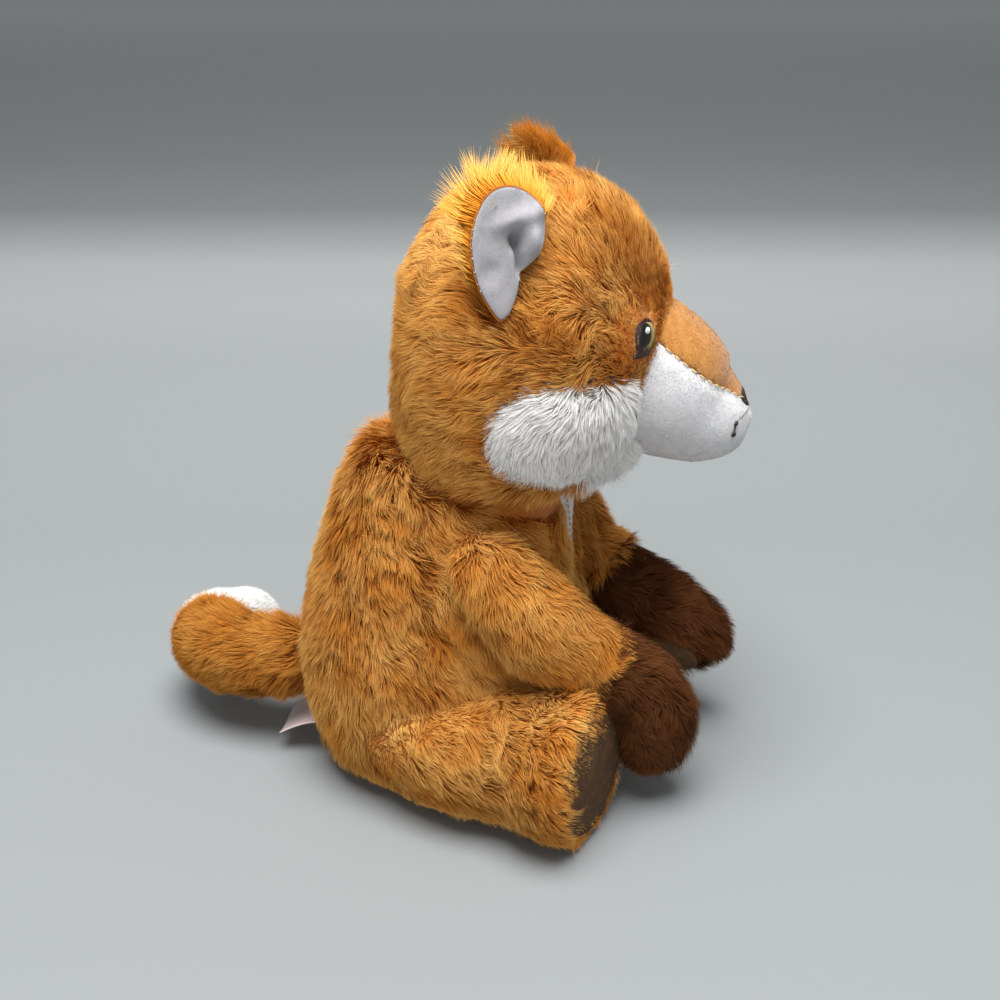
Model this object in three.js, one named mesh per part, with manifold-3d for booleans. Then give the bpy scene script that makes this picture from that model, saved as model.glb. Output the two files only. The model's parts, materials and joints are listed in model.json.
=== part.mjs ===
// A seated plush fox: long-pile skins over loose stuffing, with sewn joints at the neck, ears, limbs and tail.
// Millimetres. It faces -Y, its own left side is +X, and it sits on Z = 0.
import * as THREE from "three";
import { mergeVertices } from "three/addons/utils/BufferGeometryUtils.js";
import Module from "manifold-3d";

const wasm = await Module();
wasm.setup();

// Cloths and seams
const pileHeight = 8;
const backingThickness = 2;
const skinThickness = pileHeight + backingThickness;
const velourThickness = 2.4;
const pressedShare = 0.3;
const seamGap = 0.3;
const swingClearance = 0.8;
const flattenedDepth = 0.5;
const cutReach = 400;

// Overall places, on the body's own axis
const neckHeight = 126;
const headTop = 224;

// Body: a pear that leans forward at the shoulders
const body = {
  halfWidth: 55,
  halfDepth: 54,
  spine: [[0, 0, -flattenedDepth], [0, 1, 48], [0, -4, 92], [0, -15, 128], [0, -18, 150]],
  stationShares: [[0, 0, 0], [0.004, 0.55, 0.55], [0.035, 0.8, 0.8], [0.13, 0.95, 0.95], [0.3, 1, 1],
    [0.52, 0.94, 0.92], [0.72, 0.8, 0.79], [0.86, 0.64, 0.65], [0.96, 0.38, 0.38], [1, 0, 0]],
};
const pelletLevel = 30;
const bib = { halfWidth: 19, low: 84, side: 7 };
const label = {
  width: 24,
  length: 18,
  thickness: 0.8,
  rise: 15,
  droop: 5,
  bow: 1,
  seamShare: 0.84,
  sideOffset: -4,
};

// Head
const head = {
  halfWidth: 59,
  halfDepth: 47,
  spine: [[0, -22, 106], [0, -27, 140], [0, -32, 176], [0, -33, headTop]],
  stationShares: [[0, 0, 0], [0.015, 0.45, 0.45], [0.08, 0.75, 0.76], [0.25, 0.93, 0.94], [0.46, 1, 1],
    [0.66, 0.95, 0.98], [0.83, 0.74, 0.8], [0.95, 0.42, 0.46], [1, 0, 0]],
};
const muzzle = {
  halfWidth: 27,
  halfDepth: 27,
  spine: [[0, -46, 165], [0, -73, 152], [0, -93, 141], [0, -107, 140]],
  stationShares: [[0, 0, 0], [0.05, 0.8, 0.8], [0.3, 1, 1], [0.55, 0.9, 0.91], [0.8, 0.64, 0.65],
    [0.94, 0.42, 0.43], [1, 0, 0]],
  seam: { back: [0, -72, 173], tip: [0, -107, 145] },
};
const cheek = { centre: [-47, 146], halfLength: 26.5, halfHeight: 17, innerSide: 12, bulge: 3 };
const eye = {
  place: [31, -71, 176],
  facingShares: [0.62, -0.76, 0.18],
  halfWidth: 4.2,
  halfHeight: 6.8,
  proud: 2,
};
const nose = { place: [0, -105, 148], facingShares: [0, -0.72, 0.69], halfWidth: 7, halfHeight: 4.2, proud: 1.3 };
const mouth = { threadRadius: 0.8, places: [[-12.7, 137.4], [-11.9, 142], [-7, 143.8], [0, 144], [7, 143.8],
  [11.9, 142], [12.7, 137.4]] };

// Ears
const ear = {
  root: [50, -29, 188],
  halfWidth: 16.5,
  halfHeight: 24,
  lean: 2,
  cup: 7,
  backThickness: 8,
  liningShare: 0.75,
  crestShare: 0.4,
  ballRadius: 6,
  facingShares: [0.88, -0.46, 0.12],
};

// Arms: each hangs from its shoulder with the paw at the end
const arm = {
  shoulder: [41, -17, 100],
  halfWidth: 18,
  halfDepth: 18,
  spine: [[0, 7, 13], [5, -18, -17], [-3, -37, -37]],
  pawSpine: { right: [[-12, -58, -57], [-18, -61, -91]], left: [[-9, -62, -53], [-13, -89, -68]] },
  stationShares: [[0, 0, 0], [0.03, 0.45, 0.45], [0.12, 0.86, 0.86], [0.3, 0.96, 1], [0.5, 0.9, 0.92],
    [0.62, 0.92, 0.95], [0.8, 1, 1], [0.93, 0.8, 0.78], [0.985, 0.42, 0.4], [1, 0, 0]],
  wristShare: 0.55,
  ballRadius: 15,
  padPlaceShare: 0.84,
  padHalfWidth: 9,
  padHalfHeight: 12,
  padThickness: 1.6,
  padTurn: 55,
};

// Legs: each lies on the ground from the hip to a flat sole
const leg = {
  hip: [35, -6, 29],
  halfWidth: 30,
  halfDepth: 30,
  spine: [[-4, 32, 2], [1, 6, 0.5], [6, -31, 0.5], [14, -46, 0.5], [24, -75, 1]],
  stationShares: [[0, 0, 0], [0.03, 0.45, 0.45], [0.1, 0.76, 0.76], [0.24, 0.92, 0.93], [0.45, 0.98, 0.98],
    [0.8, 1, 1], [0.92, 0.9, 0.9], [0.985, 0.45, 0.45], [1, 0, 0]],
  soleShare: 0.787,
  soleRadius: 24.5,
  soleCrown: 4,
  ballRadius: 23,
};

// Tail: it leaves the back, bends to the left side and droops to a pale tip
const tail = {
  root: [0, 49, 33],
  halfWidth: 18,
  halfDepth: 18,
  spine: [[0, -6, 0], [0, 14, 0], [2, 34, 0], [19, 50, -4], [46, 48, -11], [66, 40, -15]],
  stationShares: [[0, 0, 0], [0.02, 0.4, 0.4], [0.08, 0.78, 0.78], [0.24, 0.94, 0.94], [0.5, 1, 1],
    [0.7, 0.98, 0.98], [0.87, 0.8, 0.8], [0.965, 0.45, 0.45], [1, 0, 0]],
  tipShare: 0.6,
  ballRadius: 13,
  upright: true,
};

// Reach of each seam, in degrees from rest, that the forms leave room for
const reach = { arm: 35, leg: 20, tail: 20, earIn: 8, earOut: 25 };
const reachSteps = 2;

// Facets of the soft forms
const facets = { bodySides: 24, bodyRings: 14, limbSides: 16, limbRings: 11, innerSides: 10, innerRings: 7,
  ballSides: 24, ballRings: 6, innerBallSides: 12, innerBallRings: 5, patchSides: 16, smallPatchSides: 10,
  spinePoints: 120, outlineSteps: 6, threadSides: 6, threadSteps: 16 };

const cloth = (name, color, roughness) =>
  new THREE.MeshStandardMaterial({ name, color, roughness, metalness: 0 });
const longOrange = cloth("long_orange_pile", 0xd98a35, 0.95);
const longWhite = cloth("long_white_pile", 0xf2f0ec, 0.95);
const longBrown = cloth("long_brown_pile", 0x4c2f22, 0.95);
const shortOrange = cloth("short_orange_velour", 0xdb9a45, 0.85);
const shortWhite = cloth("short_white_velour", 0xe9e8ea, 0.85);
const suede = cloth("brown_suede", 0x473930, 0.8);
const fibre = cloth("polyester_fibre", 0xf4f4f2, 0.9);
const pelletCloth = cloth("pellet_bag_cloth", 0xdfe2e4, 0.8);
const thread = cloth("dark_thread", 0x1c1512, 0.5);
const satin = cloth("satin_tape", 0xe8dcda, 0.4);

const vector = (place) => new THREE.Vector3(...place);
const sided = (place, side) => new THREE.Vector3(side * place[0], place[1], place[2]);

// A closed surface from rings of points and a pole at each end.
function closedRings(rings, startPole, endPole) {
  const sides = rings[0].length;
  const places = [startPole, ...rings.flat(), endPole];
  const last = places.length - 1;
  const corner = (ring, i) => 1 + ring * sides + (i % sides);
  const faces = [];
  for (let i = 0; i < sides; i++) {
    faces.push(0, corner(0, i + 1), corner(0, i));
    for (let ring = 0; ring + 1 < rings.length; ring++) {
      faces.push(corner(ring, i), corner(ring, i + 1), corner(ring + 1, i + 1));
      faces.push(corner(ring, i), corner(ring + 1, i + 1), corner(ring + 1, i));
    }
    faces.push(last, corner(rings.length - 1, i), corner(rings.length - 1, i + 1));
  }
  const geometry = new THREE.BufferGeometry().setFromPoints(places);
  return geometry.setIndex(faces);
}

// A soft form: oval rings along a spine. A station is [place along it, half width, half depth], as shares.
// A positive inset draws the whole surface in, and a negative one lets it out.
function softForm(form, spinePoints, inset, sides, rings) {
  const spine = new THREE.CatmullRomCurve3(spinePoints, false, "centripetal");
  spine.arcLengthDivisions = facets.spinePoints;
  const trimShare = inset / spine.getLength();
  const stations = new THREE.CatmullRomCurve3(form.stationShares.map(vector), false, "centripetal");
  const crosswise = form.upright ? new THREE.Vector3(0, 0, 1) : new THREE.Vector3(1, 0, 0);
  const at = (share) => {
    const along = THREE.MathUtils.clamp(share, 0, 1);
    const inside = along * (1 - 2 * trimShare) + trimShare;
    const within = THREE.MathUtils.clamp(inside, 0, 1);
    const tangent = spine.getTangentAt(within);
    const centre = spine.getPointAt(within).addScaledVector(tangent, (inside - within) * spine.getLength());
    return { centre, tangent };
  };
  const circles = [];
  for (let ring = 1; ring < rings; ring++) {
    const station = stations.getPoint(ring / rings);
    const { centre, tangent } = at(station.x);
    const across = crosswise.clone().addScaledVector(tangent, -tangent.dot(crosswise)).normalize();
    const away = tangent.clone().cross(across);
    const halfWidth = (form.halfWidth - inset) * station.y;
    const halfDepth = (form.halfDepth - inset) * station.z;
    circles.push(Array.from({ length: sides }, (_, i) => {
      const turn = (2 * Math.PI * i) / sides;
      return centre.clone()
        .addScaledVector(across, halfWidth * Math.cos(turn))
        .addScaledVector(away, halfDepth * Math.sin(turn));
    }));
  }
  return closedRings(circles, at(0).centre, at(1).centre);
}

// A sewn patch: an outline filled like a shallow pillow, with its own height in front and behind.
function patch({ centre, facing, upward, outline, front, back, bend = () => 0 }) {
  const normal = facing.clone().normalize();
  const up = upward.clone().addScaledVector(normal, -upward.dot(normal)).normalize();
  const right = up.clone().cross(normal);
  const ringShares = [0.45, 0.75, 0.93];
  const place = (share, corner, height) => {
    const [a, b] = corner;
    return centre.clone()
      .addScaledVector(right, a * share)
      .addScaledVector(up, b * share)
      .addScaledVector(normal, height * Math.sqrt(1 - share * share) + bend(a * share, b * share));
  };
  const ring = (share, height) => outline.map((corner) => place(share, corner, height));
  const backRings = ringShares.map((share) => ring(share, -back));
  const frontRings = ringShares.map((share) => ring(share, front)).reverse();
  const middle = [0, 0];
  return closedRings([...backRings, ring(1, 0), ...frontRings], place(0, middle, -back), place(0, middle, front));
}

function ovalOutline(halfWidth, halfHeight, sides = facets.patchSides) {
  return Array.from({ length: sides }, (_, i) => {
    const turn = (2 * Math.PI * i) / sides;
    return [halfWidth * Math.cos(turn), halfHeight * Math.sin(turn)];
  });
}

// Round at the top and narrowing to a point at the bottom.
function dropOutline(halfWidth, halfHeight) {
  return Array.from({ length: facets.patchSides }, (_, i) => {
    const turn = (2 * Math.PI * i) / facets.patchSides;
    const widthShare = Math.sin(turn) * Math.abs(Math.sin(turn / 2)) ** 0.8;
    return [halfWidth * widthShare, -halfHeight * Math.cos(turn)];
  });
}

function solidOf(geometry) {
  const bare = geometry.clone();
  bare.deleteAttribute("normal");
  bare.deleteAttribute("uv");
  const merged = mergeVertices(bare);
  return new wasm.Manifold(new wasm.Mesh({
    numProp: 3,
    vertProperties: new Float32Array(merged.attributes.position.array),
    triVerts: new Uint32Array(merged.index.array),
  }));
}

const cutFrom = (solid, tools) => tools.reduce((left, tool) => left.subtract(tool), solid);

// Everything on the far side of a plane, as a block.
function beyond(point, normal) {
  const block = new THREE.BoxGeometry(cutReach, cutReach, cutReach);
  block.translate(0, 0, cutReach / 2);
  block.applyQuaternion(new THREE.Quaternion().setFromUnitVectors(new THREE.Vector3(0, 0, 1), normal));
  return solidOf(block.translate(point.x, point.y, point.z));
}

function ball(centre, radius, axis, sides, rings) {
  const sphere = new THREE.SphereGeometry(radius, sides, rings);
  sphere.applyQuaternion(new THREE.Quaternion().setFromUnitVectors(new THREE.Vector3(0, 1, 0), axis));
  return solidOf(sphere.translate(centre.x, centre.y, centre.z));
}

function turnedAbout(geometry, pivot, axis, degrees) {
  const turn = new THREE.Matrix4().makeRotationAxis(axis, THREE.MathUtils.degToRad(degrees));
  return geometry.clone().translate(-pivot.x, -pivot.y, -pivot.z).applyMatrix4(turn)
    .translate(pivot.x, pivot.y, pivot.z);
}

const anglesBetween = (from, to) =>
  Array.from({ length: reachSteps + 1 }, (_, i) => THREE.MathUtils.lerp(from, to, i / reachSteps));

// The room that a larger form takes from a limb as the limb turns from one angle to the other.
const roomTaken = (geometry, pivot, axis, from, to) =>
  anglesBetween(from, to).map((degrees) => solidOf(turnedAbout(geometry, pivot, axis, -degrees)));

const ground = beyond(new THREE.Vector3(0, 0, 0), new THREE.Vector3(0, 0, -1));
const aboveNeck = beyond(new THREE.Vector3(0, 0, neckHeight), new THREE.Vector3(0, 0, 1));
const belowNeck = beyond(new THREE.Vector3(0, 0, neckHeight + seamGap), new THREE.Vector3(0, 0, -1));

const facing = (inside, sides, rings) => (inside ? [facets.innerSides, facets.innerRings] : [sides, rings]);
const formOf = (form, sides, rings) => (inset, inside = inset > 0) =>
  softForm(form, form.spine.map(vector), inset, ...facing(inside, sides, rings));
const bodyForm = formOf(body, facets.bodySides, facets.bodyRings);
const headForm = formOf(head, facets.bodySides, facets.bodyRings);
const muzzleForm = formOf(muzzle, facets.limbSides, facets.limbRings);

// One limb: its form, its round root, and what the larger forms take from it at every angle of its seam.
function limb({ form, places = form.spine, side, pivot, axis, larger, from, to }) {
  const spinePoints = places.map((place) => sided(place, side).add(pivot));
  const spine = new THREE.CatmullRomCurve3(spinePoints, false, "centripetal");
  const shape = (inset, inside) =>
    softForm(form, spinePoints, inset, ...facing(inside, facets.limbSides, facets.limbRings));
  const ballOf = (grow, inside) => (inside
    ? ball(pivot, form.ballRadius + grow, axis, facets.innerBallSides, facets.innerBallRings)
    : ball(pivot, form.ballRadius + grow, axis, facets.ballSides, facets.ballRings));
  const trim = (solid, inset, inside) => cutFrom(solid, larger(-swingClearance - inset * pressedShare, inside)
    .flatMap((other) => roomTaken(other, pivot, axis, from, to)));
  const trimmed = (inset, inside) => trim(solidOf(shape(inset, inside)), inset, inside);
  return {
    pivot,
    outside: (grow) => trimmed(-grow, false).add(ballOf(grow, false)),
    inside: (inset) => trimmed(inset, true),
    trimmedPatch: (geometry) => trim(solidOf(geometry), 0, false),
    socket: (inset) => ballOf(seamGap + inset, inset > 0),
    turnedForms: (grow, inside) =>
      anglesBetween(from, to).map((degrees) => turnedAbout(shape(grow, inside), pivot, axis, degrees)),
    place: (share) => spine.getPointAt(share),
    direction: (share) => spine.getTangentAt(share),
  };
}

const sides = { right: -1, left: 1 };
const arms = {};
const legs = {};
for (const [name, side] of Object.entries(sides)) {
  legs[name] = limb({ form: leg, side, pivot: sided(leg.hip, side), axis: new THREE.Vector3(0, 0, side),
    larger: (grow, inside) => [bodyForm(grow, inside)], from: 0, to: reach.leg });
  arms[name] = limb({ form: arm, places: [...arm.spine, ...arm.pawSpine[name]], side,
    pivot: sided(arm.shoulder, side), axis: new THREE.Vector3(-1, 0, 0), from: 0, to: reach.arm,
    larger: (grow, inside) => [bodyForm(grow, inside), ...legs[name].turnedForms(grow - seamGap, inside)] });
}
const tailLimb = limb({ form: tail, side: 1, pivot: vector(tail.root), axis: new THREE.Vector3(0, 0, 1),
  larger: (grow, inside) => [bodyForm(grow, inside)], from: -reach.tail, to: reach.tail });

const root = new THREE.Group();
const fox = new THREE.Group();
root.add(fox);

function jointGroup(name, pivot) {
  const group = new THREE.Group();
  group.name = name;
  group.position.copy(pivot);
  fox.add(group);
  return group;
}

function addPiece(group, name, solid, material) {
  const { numProp, vertProperties, triVerts } = solid.getMesh();
  const places = new Float32Array((vertProperties.length / numProp) * 3);
  for (let i = 0; i < places.length / 3; i++) {
    places.set(vertProperties.subarray(i * numProp, i * numProp + 3), i * 3);
  }
  const geometry = new THREE.BufferGeometry().setAttribute("position", new THREE.BufferAttribute(places, 3));
  geometry.setIndex(new THREE.BufferAttribute(triVerts, 1));
  geometry.translate(-group.position.x, -group.position.y, -group.position.z);
  geometry.computeVertexNormals();
  const mesh = new THREE.Mesh(geometry, material);
  mesh.name = name;
  group.add(mesh);
}

// An outline in a plane that faces sideways or forwards, drawn out into a prism from the middle of the toy.
function prismAlong(outline, direction) {
  const prism = new THREE.ExtrudeGeometry(outline, {
    depth: cutReach, bevelEnabled: false, curveSegments: facets.outlineSteps });
  const [right, up] = direction.x === 0
    ? [new THREE.Vector3(1, 0, 0), new THREE.Vector3(0, 0, 1)]
    : [new THREE.Vector3(0, direction.x, 0), new THREE.Vector3(0, 0, 1)];
  return solidOf(prism.applyMatrix4(new THREE.Matrix4().makeBasis(right, up, direction)));
}

// Skins and their filling are the same solid at two insets.
const fillInset = skinThickness + seamGap;

// Body: skin with sockets for the limbs, velour bib, fibre above a bag of pellets
const limbs = [arms.right, arms.left, legs.right, legs.left, tailLimb];
const bodySolid = (inset) => cutFrom(solidOf(bodyForm(inset)), limbs.map((part) => part.socket(inset)));

function bibPrism(grow) {
  const outline = new THREE.Shape();
  const middle = (neckHeight + bib.low) / 2;
  outline.moveTo(-bib.halfWidth - grow, neckHeight);
  outline.quadraticCurveTo(-bib.side - grow, middle, 0, bib.low - grow);
  outline.quadraticCurveTo(bib.side + grow, middle, bib.halfWidth + grow, neckHeight);
  return prismAlong(outline, new THREE.Vector3(0, -1, 0));
}

const seat = jointGroup("seat", new THREE.Vector3(0, 0, 0));
const bodySkin = cutFrom(bodySolid(0), [bodySolid(skinThickness), ground, aboveNeck, bibPrism(seamGap)]);
addPiece(seat, "body_skin", bodySkin, longOrange);
const bibCloth = solidOf(bodyForm(skinThickness - velourThickness)).subtract(solidOf(bodyForm(skinThickness)));
addPiece(seat, "chest_bib", bibCloth.intersect(bibPrism(0)).subtract(aboveNeck), shortWhite);
const bodyFill = bodySolid(fillInset).subtract(aboveNeck);
const bagTop = new THREE.Vector3(0, 0, pelletLevel);
const bagSeam = new THREE.Vector3(0, 0, pelletLevel - seamGap);
addPiece(seat, "body_stuffing", bodyFill.subtract(beyond(bagTop, new THREE.Vector3(0, 0, -1))), fibre);
addPiece(seat, "pellet_bag", bodyFill.subtract(beyond(bagSeam, new THREE.Vector3(0, 0, 1))), pelletCloth);

// The label is caught in the seam under the tail and droops to the back.
function labelSolid() {
  const { width, length, thickness, rise, droop, bow, seamShare } = label;
  const start = body.halfDepth * seamShare;
  const upper = [[start, rise], [start + length / 2, rise - droop / 2 + bow], [start + length, rise - droop]];
  const path = new THREE.SplineCurve(upper.map(([y, z]) => new THREE.Vector2(y, z)));
  const strip = new THREE.Shape();
  const line = path.getPoints(facets.outlineSteps);
  strip.moveTo(line[0].x, line[0].y);
  line.slice(1).forEach((point) => strip.lineTo(point.x, point.y));
  [...line].reverse().forEach((point) => strip.lineTo(point.x, point.y + thickness));
  const tape = new THREE.ExtrudeGeometry(strip, { depth: width, bevelEnabled: false });
  const basis = new THREE.Matrix4().makeBasis(
    new THREE.Vector3(0, 1, 0), new THREE.Vector3(0, 0, 1), new THREE.Vector3(1, 0, 0));
  return solidOf(tape.applyMatrix4(basis).translate(label.sideOffset - width / 2, 0, 0));
}
addPiece(seat, "sewn_label", labelSolid().subtract(solidOf(bodyForm(-seamGap))), satin);

// Ears: a furry back and a velour lining, cupped, on a small round root
function earLimb(side) {
  const pivot = sided(ear.root, side);
  const axis = new THREE.Vector3(0, side, 0);
  const facing = sided(ear.facingShares, side).normalize();
  const upward = new THREE.Vector3(side * ear.lean, 0, ear.halfHeight).normalize();
  const centre = pivot.clone().addScaledVector(upward, ear.halfHeight - ear.ballRadius);
  const cup = (a, b) => ear.cup * ((a / ear.halfWidth) ** 2 + ear.crestShare * (b / ear.halfHeight) ** 2);
  const sheet = (grow, front, back, lift) => patch({
    centre: centre.clone().addScaledVector(facing, lift),
    facing,
    upward,
    outline: dropOutline(ear.halfWidth * grow, ear.halfHeight * grow),
    front,
    back,
    bend: cup,
  });
  const room = roomTaken(headForm(-swingClearance), pivot, axis, -reach.earIn, reach.earOut);
  const rootBall = (grow) => ball(pivot, ear.ballRadius + grow, axis, facets.innerBallSides, facets.innerBallRings);
  return {
    pivot,
    socket: (inset) => rootBall(seamGap + inset),
    back: cutFrom(solidOf(sheet(1, seamGap, ear.backThickness, 0)), room).add(rootBall(0)),
    lining: cutFrom(solidOf(sheet(ear.liningShare, velourThickness, 0, 2 * seamGap)), [...room, rootBall(seamGap)]),
  };
}
const ears = { right: earLimb(-1), left: earLimb(1) };

// Head: skin with the cheeks and the muzzle let in
const earSockets = (inset) => Object.values(ears).map((part) => part.socket(inset));
const headSolid = (inset) => cutFrom(solidOf(headForm(inset)), earSockets(inset));
const neck = jointGroup("neck", new THREE.Vector3(0, vector(head.spine[0]).y, neckHeight));

function cheekPrism(side, grow) {
  const [along, up] = cheek.centre;
  const outline = new THREE.Shape();
  outline.absellipse(side * along, up, cheek.halfLength + grow, cheek.halfHeight + grow, 0, 2 * Math.PI);
  const middleStrip = beyond(new THREE.Vector3(side * cheek.innerSide, 0, 0), new THREE.Vector3(-side, 0, 0));
  return prismAlong(outline, new THREE.Vector3(side, 0, 0)).subtract(middleStrip);
}

const muzzleOutside = solidOf(muzzleForm(-seamGap));
const headCavity = headSolid(skinThickness).add(solidOf(muzzleForm(velourThickness)));
const headFill = headSolid(fillInset).add(solidOf(muzzleForm(velourThickness + seamGap))).subtract(belowNeck);
const headRoom = [headCavity, muzzleOutside, belowNeck];
const cheekRoom = [cheekPrism(-1, seamGap), cheekPrism(1, seamGap)];
addPiece(neck, "head_skin", cutFrom(headSolid(0), [...headRoom, ...cheekRoom]), longOrange);
addPiece(neck, "head_stuffing", headFill, fibre);
for (const [name, side] of Object.entries(sides)) {
  const panel = solidOf(headForm(-cheek.bulge)).intersect(cheekPrism(side, 0));
  addPiece(neck, "cheek_" + name, cutFrom(panel, headRoom), longWhite);
}

// Muzzle: an upper and a lower velour panel that meet along a seam from the eyes to the nose
const seamBack = vector(muzzle.seam.back);
const seamAlong = vector(muzzle.seam.tip).sub(seamBack);
const seamUp = seamAlong.clone().cross(new THREE.Vector3(1, 0, 0)).normalize();
const muzzleInside = [solidOf(muzzleForm(velourThickness)), headSolid(skinThickness)];
const muzzleShell = cutFrom(solidOf(muzzleForm(0)), muzzleInside);
const overSeam = beyond(seamBack, seamUp);
const underSeam = beyond(seamBack.clone().addScaledVector(seamUp, seamGap), seamUp.clone().negate());
addPiece(neck, "muzzle_top", muzzleShell.subtract(underSeam), shortOrange);
addPiece(neck, "muzzle_lower", muzzleShell.subtract(overSeam), shortWhite);

// Embroidery: two eyes, the nose and the stitched mouth
for (const [name, side] of Object.entries(sides)) {
  const pad = patch({
    centre: sided(eye.place, side),
    facing: sided(eye.facingShares, side),
    upward: new THREE.Vector3(0, 0, 1),
    outline: ovalOutline(eye.halfWidth, eye.halfHeight, facets.smallPatchSides),
    front: eye.proud,
    back: eye.proud,
  });
  addPiece(neck, "eye_" + name, cutFrom(solidOf(pad), [solidOf(headForm(-seamGap)), muzzleOutside]), thread);
}
const nosePad = patch({
  centre: vector(nose.place),
  facing: vector(nose.facingShares),
  upward: new THREE.Vector3(0, 0, 1),
  outline: ovalOutline(nose.halfWidth, nose.halfHeight, facets.smallPatchSides),
  front: nose.proud,
  back: nose.proud,
});
addPiece(neck, "nose_embroidery", solidOf(nosePad).subtract(muzzleOutside), thread);

// The mouth's thread lies on the front of the muzzle, given by its places across and up.
function mouthThread() {
  const surface = new THREE.Mesh(muzzleForm(0));
  const rearward = new THREE.Vector3(0, 1, 0);
  const onMuzzle = ([across, up]) =>
    new THREE.Raycaster(new THREE.Vector3(across, -cutReach, up), rearward).intersectObject(surface)[0].point;
  const path = new THREE.CatmullRomCurve3(mouth.places.map(onMuzzle), false, "centripetal");
  const section = new THREE.Shape(ovalOutline(mouth.threadRadius, mouth.threadRadius, facets.threadSides)
    .map(([a, b]) => new THREE.Vector2(a, b)));
  return solidOf(new THREE.ExtrudeGeometry(section, { steps: facets.threadSteps, extrudePath: path }));
}
addPiece(neck, "mouth_stitches", mouthThread().subtract(muzzleOutside), thread);

for (const name of Object.keys(sides)) {
  const hinge = jointGroup("ear_seam_" + name, ears[name].pivot);
  addPiece(hinge, "ear_back_" + name, ears[name].back, longOrange);
  addPiece(hinge, "ear_lining_" + name, ears[name].lining, shortWhite);
}

// A limb's skin is cut across its length into two cloths, or open where a sole closes it.
function skinParts(part, cutShare) {
  const place = part.place(cutShare);
  const along = part.direction(cutShare);
  const skin = part.outside(0).subtract(part.inside(skinThickness));
  return {
    place,
    along,
    near: skin.subtract(beyond(place, along)),
    far: skin.subtract(beyond(place.clone().addScaledVector(along, seamGap), along.clone().negate())),
    fill: part.inside(fillInset),
  };
}

// The pad follows the round of the palm, which faces down and towards the other paw.
function pawPad(part, side) {
  const along = part.direction(arm.padPlaceShare);
  const palm = new THREE.Vector3(1, 0, 0).cross(along).normalize();
  palm.applyAxisAngle(along, THREE.MathUtils.degToRad(-side * arm.padTurn));
  const round = (a, b) => -(a * a) / (2 * arm.halfWidth) - (b * b) / (4 * arm.halfDepth);
  const pad = patch({
    centre: part.place(arm.padPlaceShare).addScaledVector(palm, arm.halfDepth + seamGap),
    facing: palm,
    upward: along,
    outline: ovalOutline(arm.padHalfWidth, arm.padHalfHeight),
    front: arm.padThickness,
    back: arm.padThickness,
    bend: round,
  });
  return part.trimmedPatch(pad).subtract(part.outside(seamGap));
}

for (const [name, side] of Object.entries(sides)) {
  const { near, far, fill } = skinParts(arms[name], arm.wristShare);
  const shoulder = jointGroup("shoulder_" + name, arms[name].pivot);
  addPiece(shoulder, "arm_skin_" + name, near, longOrange);
  addPiece(shoulder, "paw_skin_" + name, far, longBrown);
  addPiece(shoulder, "paw_pad_" + name, pawPad(arms[name], side), suede);
  addPiece(shoulder, "arm_stuffing_" + name, fill, fibre);
}

for (const name of Object.keys(sides)) {
  const { place, along, near, fill } = skinParts(legs[name], leg.soleShare);
  const hip = jointGroup("hip_" + name, legs[name].pivot);
  const end = beyond(place.clone().addScaledVector(along, -seamGap), along);
  const sole = patch({
    centre: place.clone().addScaledVector(along, seamGap),
    facing: along,
    upward: new THREE.Vector3(0, 0, 1),
    outline: ovalOutline(leg.soleRadius, leg.soleRadius),
    front: leg.soleCrown,
    back: 0,
  });
  addPiece(hip, "leg_skin_" + name, near.subtract(ground), longOrange);
  addPiece(hip, "leg_stuffing_" + name, fill.subtract(end), fibre);
  addPiece(hip, "sole_" + name, solidOf(sole).subtract(ground), suede);
}

const tailSeam = jointGroup("tail_seam", tailLimb.pivot);
const tailParts = skinParts(tailLimb, tail.tipShare);
addPiece(tailSeam, "tail_skin", tailParts.near, longOrange);
addPiece(tailSeam, "tail_tip", tailParts.far, longWhite);
addPiece(tailSeam, "tail_stuffing", tailParts.fill, fibre);

// The origin is under the middle of the toy's own box.
const bounds = new THREE.Box3().setFromObject(fox);
const middle = bounds.getCenter(new THREE.Vector3());
fox.position.set(-middle.x, -middle.y, -bounds.min.z);

export default root;
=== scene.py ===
import json
import math

import bmesh
import bpy
import numpy as np
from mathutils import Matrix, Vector, noise
from mathutils.bvhtree import BVHTree

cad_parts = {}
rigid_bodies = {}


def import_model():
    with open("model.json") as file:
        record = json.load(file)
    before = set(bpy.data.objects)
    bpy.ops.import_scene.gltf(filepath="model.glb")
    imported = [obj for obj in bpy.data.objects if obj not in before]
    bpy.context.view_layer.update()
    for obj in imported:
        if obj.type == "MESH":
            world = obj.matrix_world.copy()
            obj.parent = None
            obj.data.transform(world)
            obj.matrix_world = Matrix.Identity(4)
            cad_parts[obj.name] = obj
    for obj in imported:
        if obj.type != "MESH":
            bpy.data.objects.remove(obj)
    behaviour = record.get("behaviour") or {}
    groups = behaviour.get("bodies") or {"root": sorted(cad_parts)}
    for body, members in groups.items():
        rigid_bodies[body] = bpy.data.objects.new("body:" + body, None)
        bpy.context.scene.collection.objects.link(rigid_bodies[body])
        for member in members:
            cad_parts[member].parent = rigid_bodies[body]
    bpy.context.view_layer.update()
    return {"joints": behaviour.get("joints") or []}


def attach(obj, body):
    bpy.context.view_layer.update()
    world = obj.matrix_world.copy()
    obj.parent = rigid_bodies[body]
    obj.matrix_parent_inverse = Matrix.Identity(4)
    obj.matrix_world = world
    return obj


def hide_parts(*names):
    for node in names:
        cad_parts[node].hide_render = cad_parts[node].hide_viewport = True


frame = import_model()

scene = bpy.context.scene
mm = 0.001

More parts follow.
